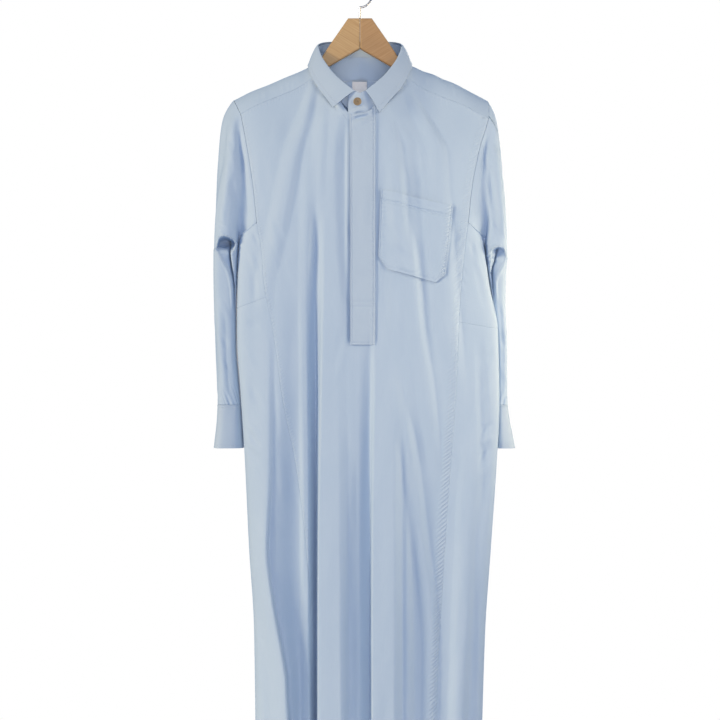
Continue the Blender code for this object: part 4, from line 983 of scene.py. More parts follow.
def yoke_strings(side, k, w):
    """Yoke point at station k, share w of the way from its front edge over to its back edge."""
    k, w = np.broadcast_arrays(np.asarray(k, float), np.asarray(w, float))
    rows = YOKE[side]
    sign = np.sign(rows["front"][0])
    x = smooth(k, rows["k"][:4], rows["front"][:4])
    on_seam = front_cloth(x, smooth(x, YOKE_SEAM["x"], YOKE_SEAM["z"]))
    corner = np.arcsin(YOKE_NECK_X / NECK_HALF)
    angle = smooth(k, (3, 4, 5, 6), (corner, np.pi / 2, np.pi * 0.75, np.pi))
    first = np.where((k < 3)[..., None], on_seam, neck_ring(sign * angle))
    ridge = np.stack([smooth(k, rows["k"], rows[name]) for name in ("ridge_x", "ridge_y", "ridge_z")],
                     axis=-1)
    x = smooth(k, rows["k"], rows["back"])
    last = back_cloth(x, back_top(x))
    pull = 2 * ridge - (first + last) / 2
    w = w[..., None]
    return (1 - w) ** 2 * first + 2 * w * (1 - w) * pull + w * w * last


halves = []
w = shares(34, 110)[:, None]
for side in ("left", "right"):
    k = np.concatenate([np.linspace(0.004, 3, 62), np.linspace(3, 6, 46)[1:]])
    half = yoke_strings(side, k[None], w)
    wave = uneven_wave(half[..., 0], 13.0) * bell((w - 0.12) / 0.16) * bell((k - 1.6) / 1.7)
    half[..., 2] += 0.7 * wave + 0.8 * uneven_wave(half[..., 0] + 40 * w, 46.0) * bell(2 * w - 1)
    halves.append(half)
yoke_grid = np.concatenate([halves[0], halves[1][:, -2::-1]], axis=1)[::-1]
yoke = sheet("robe_yoke", yoke_grid, cotton)
print("yoke area m2:", round(sheet_area(yoke_grid), 3))

# %% [markdown]
# ## Sleeves
# Each sleeve hangs edge on: a flat tube, narrow from the front and deep from the side. Its
# threads leave the armhole seam in their own direction, turn down and end at a ring above the
# elbow. There the tube has buckled: its front edge arches up as a lip, the cloth turns back
# under it, and a hollow narrows downwards to a slanting crease. The ring follows the lip, so the
# edge stays crisp.

# %% The sleeve's tables
CUFF_TOP_Z, CUFF_END_Z = -746.0, -822.0
SLEEVE_ROUND = 330.0     # about this far round, for waves that follow the tube
LEVEL_Z = -570.0
SLEEVES = {              # turn: how far the front stands back for each millimetre to the left
    "left": table("z     outer  inner  front  back  turn",
                  (-470, -255, -213.5, -80, 84, 0), (-520, -255.5, -215.5, -76, 80, 0.05),
                  (-580, -255, -217.5, -68, 76, 0.15), (-640, -254, -217.5, -62, 70, 0.2),
                  (-709, -251, -213, -56, 62, 0.1), (-746, -249.5, -210, -52, 56, 0),
                  (-822, -256, -206, -56, 60, -0.06)),
    "right": table("z     outer  inner  front  back  turn",
                   (-470, 259, 218, -80, 84, 0), (-520, 254.5, 225, -74, 80, -0.1),
                   (-580, 254, 235, -62, 78, -0.3), (-640, 256, 242.5, -60, 74, -0.4),
                   (-709, 257, 243.5, -58, 68, -0.4), (-746, 258.5, 243.5, -56, 62, -0.4),
                   (-822, 271.5, 242.5, -58, 64, -0.35))}
ARMHOLE = table(
    "u    ring  left  right  fore  down",
    (0, 0, 0.6, 0.45, 0, 0.62), (0.08, 0.12, 0.55, 0.45, 0, 0.5),
    (0.22, 0.25, 0.6, 0.6, -0.12, 0.35), (0.37, 0.37, 0.7, 0.7, -0.12, 0.45),
    (0.5, 0.5, 0.95, 0.95, 0, 0.3), (0.63, 0.63, 0.7, 0.7, 0.12, 0.45),
    (0.78, 0.75, 0.6, 0.6, 0.12, 0.35), (0.92, 0.88, 0.55, 0.45, 0, 0.5),
    (1, 1, 0.6, 0.45, 0, 0.62))
LIPS = {
    "left": table("share  z",
                  (0, -476), (0.165, -476), (0.203, -471), (0.222, -456), (0.244, -452),
                  (0.275, -455.5), (0.31, -462.4), (0.337, -471), (0.37, -476), (1, -476)),
    "right": table("share  z",
                   (0, -492), (0.17, -491), (0.204, -482.6), (0.22, -473.5), (0.246, -471),
                   (0.276, -474.6), (0.294, -482.6), (0.33, -490), (0.37, -492), (1, -492))}
REACH = {                # how far out each upper sleeve may stand
    "left": table("z  x", (-205, -229), (-236, -243.5), (-262, -247), (-299, -249.5),
                  (-402, -254.5), (-470, -256.5)),
    "right": table("z  x", (-207, 232), (-228, 241.5), (-262, 245), (-299, 247.5), (-402, 255),
                   (-470, 260))}
HOLLOWS = {              # mouth of the fold: its sides and its crease as shares of the sleeve's
                         # width, how deep the crease is, and how deep all of it is
    "left": table("z   low   high  crease  deep  under",
                  (-446, 0.30, 0.34, 0.32, 20, 50), (-454, 0.14, 0.80, 0.62, 20, 50),
                  (-466, 0.10, 0.90, 0.66, 20, 40), (-474, 0.14, 0.86, 0.68, 24, 8),
                  (-482, 0.25, 0.76, 0.69, 24, 0), (-497, 0.46, 0.81, 0.74, 24, 0),
                  (-517, 0.72, 0.89, 0.83, 18, 0), (-540, 0.86, 0.96, 0.92, 10, 0),
                  (-566, 0.93, 0.98, 0.96, 4, 0), (-585, 0.95, 0.99, 0.97, 0, 0)),
    "right": table("z   low   high  crease  deep  under",
                   (-466, 0.30, 0.42, 0.36, 10, 12), (-474, 0.12, 0.72, 0.48, 12, 14),
                   (-484, 0.09, 0.78, 0.54, 14, 6), (-494, 0.15, 0.80, 0.62, 15, 0),
                   (-513, 0.42, 0.92, 0.80, 14, 0), (-530, 0.72, 0.94, 0.84, 8, 0),
                   (-550, 0.82, 0.95, 0.88, 4, 0), (-570, 0.86, 0.95, 0.90, 0, 0))}

# %% Folds and wrinkles of the sleeves
SLEEVE_FOLD = "z share height reach"
SLEEVE_FOLDS = {
    "left": tables(
        SLEEVE_FOLD,
        ((-215, 0.17, 0, 0.04), (-240, 0.175, 2, 0.05), (-320, 0.19, 3, 0.05),
         (-400, 0.205, 3, 0.05), (-452, 0.21, 0, 0.04)),
        ((-225, 0.12, 0, 0.05), (-260, 0.125, -1.5, 0.05), (-360, 0.14, -1.5, 0.05),
         (-440, 0.15, 0, 0.05)),
        ((-215, 0.27, 0, 0.05), (-260, 0.29, -7, 0.07), (-400, 0.325, -9, 0.07),
         (-455, 0.33, 0, 0.05)),
        ((-300, 0.34, 0, 0.03), (-360, 0.345, 4, 0.03), (-430, 0.355, 3, 0.03),
         (-470, 0.36, 0, 0.03))),
    "right": tables(
        SLEEVE_FOLD,
        ((-218, 0.18, 0, 0.03), (-250, 0.185, 5, 0.035), (-330, 0.195, 6, 0.04),
         (-420, 0.21, 4, 0.04), (-466, 0.215, 0, 0.04)),
        ((-240, 0.28, 0, 0.05), (-290, 0.30, -8, 0.06), (-420, 0.32, -9, 0.06),
         (-465, 0.33, 0, 0.05)),
        ((-260, 0.14, 0, 0.03), (-330, 0.145, -3, 0.03), (-440, 0.16, 0, 0.03)))}
ARM_FOLDS = {            # down the front of each upper sleeve: a ridge, and a valley by the seam
    "left": tables(
        FOLD,
        ((-212, -216, 0, 10, 16), (-240, -221, 6, 12, 20), (-304, -229, 8, 14, 26),
         (-400, -232, 7, 14, 26), (-446, -236, 4, 14, 24), (-480, -238, 0, 14, 20)),
        ((-214, -207, 0, 10, 6), (-240, -207, -5, 12, 6), (-302, -205, -8, 16, 8),
         (-354, -200, -5, 16, 9), (-400, -195, -4, 18, 10), (-430, -194, -2, 18, 10),
         (-450, -194, 0, 14, 9))),
    "right": tables(
        FOLD,
        ((-232, 236, 0, 12, 8), (-270, 240, 4, 16, 8), (-330, 243, 6, 18, 8),
         (-420, 248, 6, 18, 8), (-466, 252, 0, 16, 8)),
        ((-212, 214, 0, 6, 10), (-245, 214, -5, 8, 12), (-300, 214, -7, 9, 12),
         (-354, 214, -3, 10, 12), (-430, 214, -1, 10, 12), (-462, 216, 0, 9, 12)))}
ARM_CREASES = {          # short wrinkles of the upper sleeves, the first ones under the hanger's tips
    "left": table(
        CREASE, (-244, -243, -224, -231, -3.0, 3.5), (-242, -249, -222, -238, 1.8, 4),
        (-240, -262, -222, -300, -1.6, 5), (-232, -280, -216, -340, 1.4, 5),
        (-246, -300, -232, -360, -1.4, 5), (-226, -340, -214, -410, -1.6, 5),
        (-250, -380, -236, -430, 1.4, 5), (-220, -390, -212, -440, 1.6, 4),
        (-252, -420, -232, -446, -1.6, 4), (-246, -560, -226, -600, 1.2, 5),
        (-234, -452, -222, -462, 2.4, 2), (-230, -455, -217, -467, -2.6, 2),
        (-228, -463, -214, -474, 2.2, 2), (-228, -474, -213, -480, -2.4, 2),
        (-228, -517, -212, -521, -1.8, 2.6), (-228, -525, -212, -530, 1.8, 2.6),
        (-226, -534, -212, -540, -1.8, 2.6), (-226, -543, -212, -548, 1.5, 2.6),
        (-250, -610, -228, -650, -1.4, 5), (-246, -660, -230, -700, 1.2, 5)),
    "right": table(
        CREASE, (226, -245, 242, -243, -3.0, 3.5), (226, -251, 244, -250, 1.8, 4),
        (226, -270, 240, -320, 1.4, 5), (240, -280, 250, -350, -1.4, 5),
        (224, -340, 234, -410, -1.6, 5), (240, -390, 254, -440, 1.4, 5),
        (232, -420, 250, -462, -1.6, 4), (246, -560, 256, -600, 1.2, 5),
        (220, -487, 238, -490, -2.8, 2.2), (222, -494, 236, -496, 2.2, 3),
        (222, -508, 234, -509, 2.0, 3), (220, -515, 235, -518, -2.8, 2.2),
        (224, -528, 236, -531, 1.6, 2.6), (226, -540, 238, -543, -1.6, 2.6),
        (240, -610, 258, -660, -1.4, 5), (246, -670, 256, -710, 1.2, 5))}
BOTH_SLEEVE_FOLDS = tables(
    SLEEVE_FOLD,
    ((-225, 0.74, 0, 0.05), (-300, 0.73, -6, 0.06), (-420, 0.70, -5, 0.06),
     (-520, 0.68, 0, 0.05)),
    ((-230, 0.84, 0, 0.06), (-330, 0.82, 4, 0.07), (-560, 0.78, 5, 0.07),
     (-700, 0.78, 0, 0.05)),
    ((-470, 0.07, 0, 0.06), (-600, 0.08, -3, 0.06), (-720, 0.10, 0, 0.05)),
    ((-560, 0.22, 0, 0.03), (-620, 0.225, 3, 0.035), (-700, 0.23, 2, 0.03),
     (-744, 0.235, 0, 0.03)),
    ((-600, 0.17, 0, 0.03), (-660, 0.172, -2.5, 0.03), (-735, 0.175, 0, 0.03)),
    ((-520, 0.92, 0, 0.05), (-640, 0.93, -4, 0.05), (-735, 0.94, 0, 0.05)),
    ((-250, 0.96, 0, 0.05), (-340, 0.97, 3, 0.05), (-480, 0.96, 0, 0.05)),
    ((-480, 0.62, 0, 0.04), (-600, 0.60, -3, 0.05), (-730, 0.60, 0, 0.04)))

# %% What shapes a sleeve
def sleeve_height(side, share, z):
    """Sum of the sleeve's folds: a bell across each path round the tube."""
    height = np.zeros(np.broadcast(share, z).shape)
    for fold in SLEEVE_FOLDS[side] + BOTH_SLEEVE_FOLDS:
        away = (share - read(fold, "share", z)) / read(fold, "reach", z)
        live = (z < fold["z"][0]) & (z > fold["z"][-1])
        height += np.where(live, read(fold, "height", z), 0) * bell(away)
    return height


def hollow(side, across, z, width):
    """How far the front stands back inside the fold's mouth: from its outer side a band slants
    back to a narrow crease, beyond it the cloth comes forward, and under the lip all is deep."""
    rows = HOLLOWS[side]
    low, high, crease, deep, under = (read(rows, name, z)
                                      for name in ("low", "high", "crease", "deep", "under"))
    rim = 2.5 / width
    inside = ease((across - low) / rim + 0.5) * ease((high - across) / rim + 0.5)
    way = np.where(across < crease, (across - low) / (crease - low), (high - across) / (high - crease))
    way = np.clip(way, 0, 1)
    back = np.minimum(deep / 4, 5) * (0.4 + way) + deep * bell((across - crease) * width / 2.6)
    live = (z < rows["z"][0]) & (z > rows["z"][-1])
    return np.where(live, inside * (back + under * (0.35 + 0.65 * way)), 0)


def oval(share, outer, inner, front, back):
    """Flat tube with blunt round ends: share 0 is the outer side, a quarter is the front. Its
    ends are ovals of the third power, so they face straight ahead over most of their width."""
    a = np.abs(outer - inner) / 2
    flat = (back - front) / 2 - a
    s = (share % 1.0) * (4 * flat + 2 * np.pi * a)
    turn = np.pi * a
    side = np.sign(outer - inner)
    s1, s2, s3 = s - flat, s - flat - turn, s - 3 * flat - turn
    angle1, angle2 = np.clip(s1 / a, 0, np.pi), np.clip(s3 / a, 0, np.pi)
    rise1, rise2 = (a * np.cbrt(1 - np.abs(np.cos(at)) ** 3) for at in (angle1, angle2))
    x = np.where(s1 < 0, a, np.where(s2 < 0, a * np.cos(angle1), np.where(
        s3 < 0, -a, np.where(s3 < turn, -a * np.cos(angle2), a))))
    y = np.where(s1 < 0, -s, np.where(s2 < 0, -flat - rise1, np.where(
        s3 < 0, -flat + s2, np.where(s3 < turn, flat + rise2, flat - (s3 - turn)))))
    return (outer + inner) / 2 + side * x, (front + back) / 2 + y


def tube(side, share, z):
    """Plain sleeve tube: x, y, z at a share round it and a height."""
    outer, inner, front, back, turn = (read(SLEEVES[side], name, z)
                                       for name in ("outer", "inner", "front", "back", "turn"))
    x, y = oval(share, outer, inner, front, back)
    return np.stack([x, y - turn * (x - (outer + inner) / 2), np.broadcast_to(z, x.shape)], axis=-1)


def armhole(side, u):
    """Closed armhole seam: crest, front corner, down to the gusset, under it and up the back."""
    ahead, _, behind = GUSSETS[side]["knots"]
    corner, under = 0.08, 0.37
    edge_front = yoke_strings(side, 0, smooth(u, (0, corner), (0.5, 0)))
    edge_back = yoke_strings(side, 0, smooth(u, (1 - corner, 1), (1, 0.5)))
    down = body_cloth(np.full(u.shape, float(ahead)), smooth(u, (corner, under), (-236, UNDERARM_Z)))
    up = body_cloth(np.full(u.shape, float(behind)),
                    smooth(u, (1 - under, 1 - corner), (UNDERARM_Z, -238)))
    t = ahead + (behind - ahead) * np.clip((u - under) / (1 - 2 * under), 0, 1)
    below = body_cloth(t, side_heights(side, "top", t))
    pick = np.digitize(u, (corner, under, 1 - under, 1 - corner))[..., None]
    return np.choose(pick, (edge_front, down, below, up, edge_back))

# %% Sleeves
def plain_sleeve(side):
    """Strings from the armhole to the lip by Hermite curves, then rings down to the cuff. Gives
    the grid, each column's share round the tube and the number of the lip's row."""
    sign = np.sign(SLEEVES[side]["outer"][0])
    u = (np.arange(204) + 0.5) / 204
    u = u + 0.035 * np.sin(4 * np.pi * u)              # closer together at the front and the back
    ring = smooth(u, ARMHOLE["u"], ARMHOLE["ring"])
    lip = smooth(ring, LIPS[side]["share"], LIPS[side]["z"])
    end = tube(side, ring, lip)
    lead = np.stack([sign * smooth(u, ARMHOLE["u"], ARMHOLE[side]),
                     -smooth(u, ARMHOLE["u"], ARMHOLE["fore"]),
                     -smooth(u, ARMHOLE["u"], ARMHOLE["down"])], axis=-1)
    start = armhole(side, u) + lead * 0.15
    length = np.linalg.norm(end - start, axis=-1, keepdims=True)
    f = np.linspace(0, 1, 80)[:, None, None]
    f = f + 0.45 * f * (1 - f)                         # rows closer together towards the lip
    upper = hermite(f, start, lead * length, end, length * np.array([0, 0, -1.0]))
    past = sign * (upper[..., 0] - read(REACH[side], "x", upper[..., 2]))
    upper[..., 0] -= sign * 2.5 * np.log1p(np.exp(past / 2.5))
    down = np.concatenate([(0.004, 0.015, 0.03), np.linspace(0.05, 1, 34)])[:, None]
    z = np.vstack([lip + (LEVEL_Z - lip) * down,
                   np.linspace(LEVEL_Z, CUFF_TOP_Z, 52)[1:, None] + 0 * u])
    return np.concatenate([upper, tube(side, ring[None], z)]), ring, len(upper) - 1


def fold_sleeve(side, grid, ring, lip_row):
    """Move the grid out by its folds, by the gathers above the cuff and by the groove at the
    armhole seam, then forward by the lip, the arm's own folds and its wrinkles."""
    rows = SLEEVES[side]
    level = grid[..., 2]
    outer, inner, fore, back = (read(rows, name, level) for name in ("outer", "inner", "front", "back"))
    middle = np.stack([(outer + inner) / 2, np.clip(grid[..., 1], fore + 30, back - 30)], axis=-1)
    away = grid[..., :2] - middle
    away /= np.maximum(np.linalg.norm(away, axis=-1, keepdims=True), 1)
    below_seam = np.arange(len(grid))[:, None]
    row = below_seam - lip_row
    grown = ease(below_seam / 8)
    gather = uneven_wave(ring * SLEEVE_ROUND + 0.4 * (level - CUFF_TOP_Z), 9.0)
    height = grown * sleeve_height(side, ring[None], level)
    height = height + 0.9 * gather * ease(1 - (level - CUFF_TOP_Z) / 42) - 0.3 * bell(below_seam / 3)
    front = ease((ring - 0.15) / 0.03) * ease((0.38 - ring) / 0.03)
    crumple = uneven_wave(ring * SLEEVE_ROUND + 2 * row, 7.0)
    grid[..., :2] += away * height[..., None]
    grid[..., 1] -= (2.8 * bell(row / 3.4) + 1.5 * crumple * bell(row / 6)) * front
    ahead = grown * ease((ring - 0.07) / 0.07) * ease((0.41 - ring) / 0.06)
    grid[..., 1] -= ahead * (fold_height(ARM_FOLDS[side], grid[..., 0], level)
                             + crease_height(ARM_CREASES[side], grid[..., 0], level))


def open_fold(side, grid, ring, lip_row):
    """Set the front back under the lip, with a rolled edge along both sides of the mouth."""
    level = grid[..., 2]
    outer, inner = read(SLEEVES[side], "outer", level), read(SLEEVES[side], "inner", level)
    row = np.arange(len(grid))[:, None] - lip_row
    turned = np.interp(row, (0, 1, 2, 3, 4), (0, 0.18, 0.5, 0.85, 1))
    across = (grid[..., 0] - outer) / (inner - outer)
    set_back = turned * hollow(side, across, level, np.abs(inner - outer))
    mouth = HOLLOWS[side]
    live = ease((mouth["z"][0] - level) / 8) * ease((level - mouth["z"][-1]) / 20)
    for edge, way in (("low", 1), ("high", -1)):
        beside = way * (across - read(mouth, edge, level)) * np.abs(inner - outer) / 3.5 + 0.8
        set_back = set_back - 1.6 * live * bell(beside) * (1 + 0.4 * uneven_wave(level, 9.0))
    facing = (ring > 0.1) & (ring < 0.4)
    grid[..., 1] += np.where(facing & (row > 0), set_back, 0)


def sleeve_grid(side):
    """The plain tube, folded, with its elbow's fold opened; columns run the way that faces out."""
    grid, ring, lip_row = plain_sleeve(side)
    fold_sleeve(side, grid, ring, lip_row)
    open_fold(side, grid, ring, lip_row)
    return grid[:, ::-1] if side == "left" else grid


sleeve_grids = {side: sleeve_grid(side) for side in ("left", "right")}
sleeves = {side: sheet(f"sleeve_{side}_cloth", grid, cotton, closed=True)
           for side, grid in sleeve_grids.items()}
print({side: (grid.shape, round(sheet_area(grid, True), 3)) for side, grid in sleeve_grids.items()})

# %% [markdown]
# ## Cuffs
# A cuff is two layers with a stiff layer between, so it keeps its curve and flares a little.
# Its top edge is pressed flat over the sleeve's gathers, and its end is a soft rolled edge.

# %% Cuffs
def cuff_grid(side):
    """Rings of the flaring tube with a groove above the end and a faint pull at the top."""
    share = np.arange(128) / 128
    v = np.linspace(0, 1, 34)[:, None]
    z = CUFF_TOP_Z - 0.3 + (CUFF_END_Z - CUFF_TOP_Z + 0.3) * v + 0 * share
    grid = tube(side, share[None], z)
    centre = np.stack([np.mean(grid[..., 0], axis=1), np.mean(grid[..., 1], axis=1)], axis=-1)
    away = grid[..., :2] - centre[:, None]
    away /= np.linalg.norm(away, axis=-1, keepdims=True)
    dent = (-0.7 * bell((v - 0.07) / 0.03) - 0.6 * bell((v - 0.93) / 0.03) + 0.9
            + 0.35 * uneven_wave(share * SLEEVE_ROUND, 15.0) * ease(1 - v / 0.3)
            + 0.5 * np.sin(share * 4 * np.pi + 5 * v))
    grid[..., :2] += away * dent[..., None]
    return grid[:, ::-1] if side == "left" else grid


cuff_grids = {side: cuff_grid(side) for side in ("left", "right")}
cuffs = {side: sheet(f"cuff_{side}_band", grid, pressed_cotton, BAND, closed=True)
         for side, grid in cuff_grids.items()}
print({side: round(sheet_area(grid, True), 4) for side, grid in cuff_grids.items()})

# %% [markdown]
# ## Collar
# A shirt collar has two parts: a stand sewn to the neck, and a fall that turns down over it from
# the roll line. The fall is an arch from the roll line to its outer edge, a cubic curve with two
# pull points that stand away from the neck, so the leaf is rounded at the top and nearly flat
# towards its points.

# %% The collar's lines
ROLL = table(
    "k  x  y  z",
    (0, 8, -78, -202.5), (1, 26.5, -69, -187), (2, 42.5, -56, -171), (3, 55.9, -42, -153),
    (4, 66.4, -25, -134.5), (5, 73.5, 0, -110), (6, 54, 38, -97), (7, 0, 52, -94))
FALL = {
    "left": table("k  x  y  z",
                  (0, -46.5, -83, -229), (1, -54, -77, -218), (2, -63, -68, -205),
                  (3, -76, -55, -186), (4, -85.6, -41, -168), (4.5, -90.5, -25, -153),
                  (5, -92, 0, -143), (6, -66, 49, -139), (7, 0, 67, -137)),
    "right": table("k  x  y  z",
                   (0, 33.3, -85, -238), (1, 44, -79, -225), (2, 56, -71, -210),
                   (3, 70.5, -59, -193), (4, 83, -43, -169.5), (4.5, 90, -26, -153),
                   (5, 92, 0, -141), (6, 66, 49, -138), (7, 0, 67, -137))}
STAND_OVERLAP = 0.27     # angle by which the stand's upper end passes the centre
STAND_CREASES = table(   # pulls between the button and the neck seam
    CREASE,
    (-16, -239, 5, -229, 2.6, 2.8), (-14, -233, 7, -225.5, -2.0, 2.6), (-16, -243, 14, -236, -2.2, 3.0),
    (2, -228, 20, -233, 1.6, 3.6), (-12, -226, -10, -212, -1.2, 4.0))

# %% Collar stand
def path(tab, k, sign=1.0):
    """Point at station k of a table of x, y, z."""
    return np.stack([sign * smooth(k, tab["k"], tab["x"]), smooth(k, tab["k"], tab["y"]),
                     smooth(k, tab["k"], tab["z"])], axis=-1)


def roll_at(angle):
    """Roll line above the neck seam's point at this angle."""
    turn = np.abs(angle)
    station = smooth(turn, (0, 0.36, 0.59, 0.8, 1.1, np.pi / 2, 2.3, np.pi),
                     (0, 1, 2, 3, 4, 5, 6, 7))
    point = path(ROLL, station)
    point[..., 0] *= np.sign(angle)
    point[..., 0] = np.where(turn < 0.36, 74 * np.sin(angle), point[..., 0])
    return point


angle = np.concatenate([np.linspace(-STAND_OVERLAP, 0.3, 30), np.linspace(0.3, 2 * np.pi - 0.45, 130)[1:],
                        np.linspace(2 * np.pi - 0.45, 2 * np.pi + 0.06, 26)[1:]])
turn = (angle + np.pi) % (2 * np.pi) - np.pi
v = np.linspace(0.04, 1.0, 24)[:, None]
over = ease((0.3 - angle) / 0.3)
under = ease((angle - (2 * np.pi - 0.55)) / 0.3)
foot = neck_ring(turn)
foot[..., 2] -= (neck_dip(foot[..., 0]) + 1.0) * over
stand_grid = roll_at(turn) + (foot - roll_at(turn)) * v[..., None]
stand_grid[..., 1] += 7.0 * under - (0.9 + 3.0 * v) * over
stand_grid[..., 1] += 0.6 * uneven_wave(angle * 77, 21.0) * bell(2 * v - 1.3) * (1 - over)
stand_grid[..., 1] -= crease_height(STAND_CREASES, stand_grid[..., 0], stand_grid[..., 2]) * over
stand = sheet("collar_stand_band", stand_grid, pressed_cotton, CLOTH)

# %% Collar fall
k = np.linspace(0, 7, 120)
v = np.concatenate([np.linspace(0, 0.24, 14), np.linspace(0.24, 1, 26)[1:]])[:, None, None]
halves = []
for side, sign in (("left", -1.0), ("right", 1.0)):
    inner, outer = path(ROLL, k, sign), path(FALL[side], k)
    away = (outer - inner) * np.array([1, 1, 0])
    away /= np.maximum(np.linalg.norm(away, axis=-1, keepdims=True), 1)
    first = inner + away + np.array([0, 0, 1.8])
    arch = inner + away * 3.5 + np.array([0, 0, 3.4])
    body = inner + (outer - inner) * 0.45 + away * 4.5
    leaf = ((1 - v) ** 3 * first + 3 * v * (1 - v) ** 2 * arch
            + 3 * v * v * (1 - v) * body + v ** 3 * outer)
    ripple = 0.15 * uneven_wave(k * 40, 61.0)[:, None] * bell(2 * v - 1)
    leaf += away * (ripple - 0.12 * bell((v - 0.87) / 0.03) + 0.6 * bell((1 - v) / 0.05))
    halves.append(leaf)
fall_grid = np.concatenate([halves[0], halves[1][:, -2::-1]], axis=1)
fall = sheet("collar_fall_leaf", fall_grid, pressed_cotton, BAND)
print("collar areas m2:", round(sheet_area(stand_grid), 4), round(sheet_area(fall_grid), 4))

# %% [markdown]
# ## Placket and pocket
# The placket is a band of two layers that covers the buttons, so only its topstitched edges
# show. It is stiffer than the cloth below it, lies on its folds, and its left edge stands a
# little open. The patch pocket has a deep hem at its mouth, clipped lower corners, and a little
# slack that makes it belly.

# %% Placket
PLACKET_LIFT = 2.2       # from the front's middle to the band's
CROSS_ROWS = (-567.5, -576.0, -638.5)         # heights of the stitch rows across the band
STITCH_IN = 3.0          # topstitching lies this far inside an edge
PLACKET_CREASES = table(
    CREASE,
    (-18, -246, 20, -236, 3.0, 3.0), (-17, -252, 22, -238, -4.4, 4.0), (-16, -262, 22, -246, 2.4, 5),
    (-12, -300, 22, -330, 0.8, 8),
    (-14, -430, 24, -446, -0.8, 9), (-12, -500, 24, -520, 0.9, 9), (-14, -600, 24, -612, -0.7, 8),
    (-10, -380, 0, -480, -0.7, 6), (12, -340, 6, -460, 0.8, 7), (2, -260, 6, -330, -0.8, 5))


def placket_height(x, z):
    """Rolled edges, stitched grooves inside both edges, two stitched rows across, own creases."""
    left, right = x - PLACKET["left"], PLACKET["right"] - x
    edge = np.minimum(left, right)
    rows = np.min([np.abs(z - row) for row in CROSS_ROWS], axis=0)
    return (0.7 * bell(left / 7) - 0.4 * ease((x - 8) / 14)
            - 0.8 * bell((edge - STITCH_IN) / 1.8) - 0.8 * bell(rows / 2.2)
            + crease_height(PLACKET_CREASES, x, z)
            + 0.25 * uneven_wave(z, 9.0) * bell((right - 4) / 5))


wide = PLACKET["right"] - PLACKET["left"]
x = PLACKET["left"] + wide * shares(34, wide, 0)[None]
top = front_top(x) + 1.5
z = top + (PLACKET["foot"] - top) * np.linspace(0, 1, 200)[:, None]
x = x + 0 * z
placket_grid = front_cloth(x, z, PLACKET_LIFT + placket_height(x, z))
placket_pull = 0.35 * bell((PLACKET["right"] - x - 4) / 7) + 0.2 * bell((z - PLACKET["foot"] - 4) / 7)
placket = sheet("placket_band", placket_grid, pressed_cotton, BAND, pull=(placket_pull, z + 0.6 * x))
x = np.linspace(PLACKET["left"] - 14, PLACKET["right"] - 14, 22)[None]
z = np.linspace(PLACKET["top"] + 6, PLACKET["foot"] + 20, 120)[:, None]
under_grid = front_cloth(x, z, -3.6 - edge_trough(x, z) - 4.0 * bell((z + 238) / 22))
under_placket = sheet("placket_under_band", under_grid, cotton_inside_painted_lighter, CLOTH)

# %% Pocket
POCKET_WIDE, POCKET_DEEP = 126.0, 134.0
POCKET_HEM = 19.5        # depth of the turned hem at the mouth
HEM_ROWS = 4.6           # between the two stitch rows that hold the hem
POCKET_LIFT = 2.0        # from the front's middle to the pocket's
POCKET_CREASES = table(  # across and down the pocket, in millimetres from its top left corner
    CREASE,
    (20, -96, 62, -118, -2.2, 7), (10, -70, 40, -104, 1.8, 8), (58, -128, 96, -140, -1.8, 6),
    (30, -120, 70, -136, 2.0, 7), (70, -60, 84, -120, -1.2, 9), (96, -50, 104, -110, 1.4, 9),
    (24, -36, 20, -80, 1.2, 8), (110, -70, 92, -126, -1.4, 7), (50, -40, 52, -90, -1.0, 10))


def pocket_height(u, v):
    """Belly, hem step, stitched grooves inside the edges and below the hem, and creases."""
    side = np.minimum(u, 1 - u) * POCKET_WIDE
    down = v * POCKET_DEEP
    edge = np.minimum(side, POCKET_DEEP - down)
    hem = down - POCKET_HEM
    return (2.6 * bell(2 * u - 1) * bell((v - 0.62) / 0.55) + 0.8 * ease(-hem / 1.5)
            - 0.8 * (bell((edge - STITCH_IN) / 1.8) + bell(hem / 1.9) + bell((hem - HEM_ROWS) / 1.9))
            + 0.6 * crease_height(POCKET_CREASES, u * POCKET_WIDE, -down) * ease(edge / 12)
            + 0.35 * uneven_wave(down, 10.0) * bell((side - 6) / 6)
            + 1.4 * bell(v / 0.09) * bell(2 * u - 0.9))


v = np.concatenate([np.linspace(0, 0.2, 24), np.linspace(0.2, 1, 62)[1:]])[:, None]
u, v = np.broadcast_arrays(shares(74, POCKET_WIDE, 0)[None], v)
x, z = pocket_place(u, v)
pocket_grid = front_cloth(x, z, POCKET_LIFT + pocket_height(u, v))
side, foot = np.minimum(u, 1 - u) * POCKET_WIDE, (1 - v) * POCKET_DEEP
pocket_pull = (0.25 + 0.45 * (u > 0.5)) * bell((side - 6) / 9) + 0.3 * bell((foot - 6) / 8)
pocket = sheet("chest_pocket_patch", pocket_grid, cotton, pull=(pocket_pull, v * POCKET_DEEP + u * 90))
print("pocket area m2:", round(sheet_area(pocket_grid), 4))

# %% [markdown]
# ## Label, button and hanger
# The label is a bare damask tape, sewn at its top and sides. The button is turned: a raised rim,
# a dished middle with four holes and a crossed thread. The hanger's arms are already right as
# solids and only need their wood; its wire hook is remade round and smooth.

# %% Label
LABEL = dict(left=-14.5, right=12.7, top=-163.0, foot=-198.0)
LABEL_IN = 2.8           # it hangs this far inside the back
x = np.linspace(LABEL["left"], LABEL["right"], 20)[None]
z = np.linspace(LABEL["top"], LABEL["foot"], 28)[:, None]
curl = 0.5 * uneven_wave(x + 0.3 * z, 19.0) + 0.6 * bell((z - LABEL["foot"]) / 8)
label_grid = back_cloth(x, z, -LABEL_IN - curl)
label = sheet("neck_label_tape", label_grid, label_tape, 0.6)

# %% Button
BUTTON = dict(x=-4.5, z=-219.0, face=-82.9)


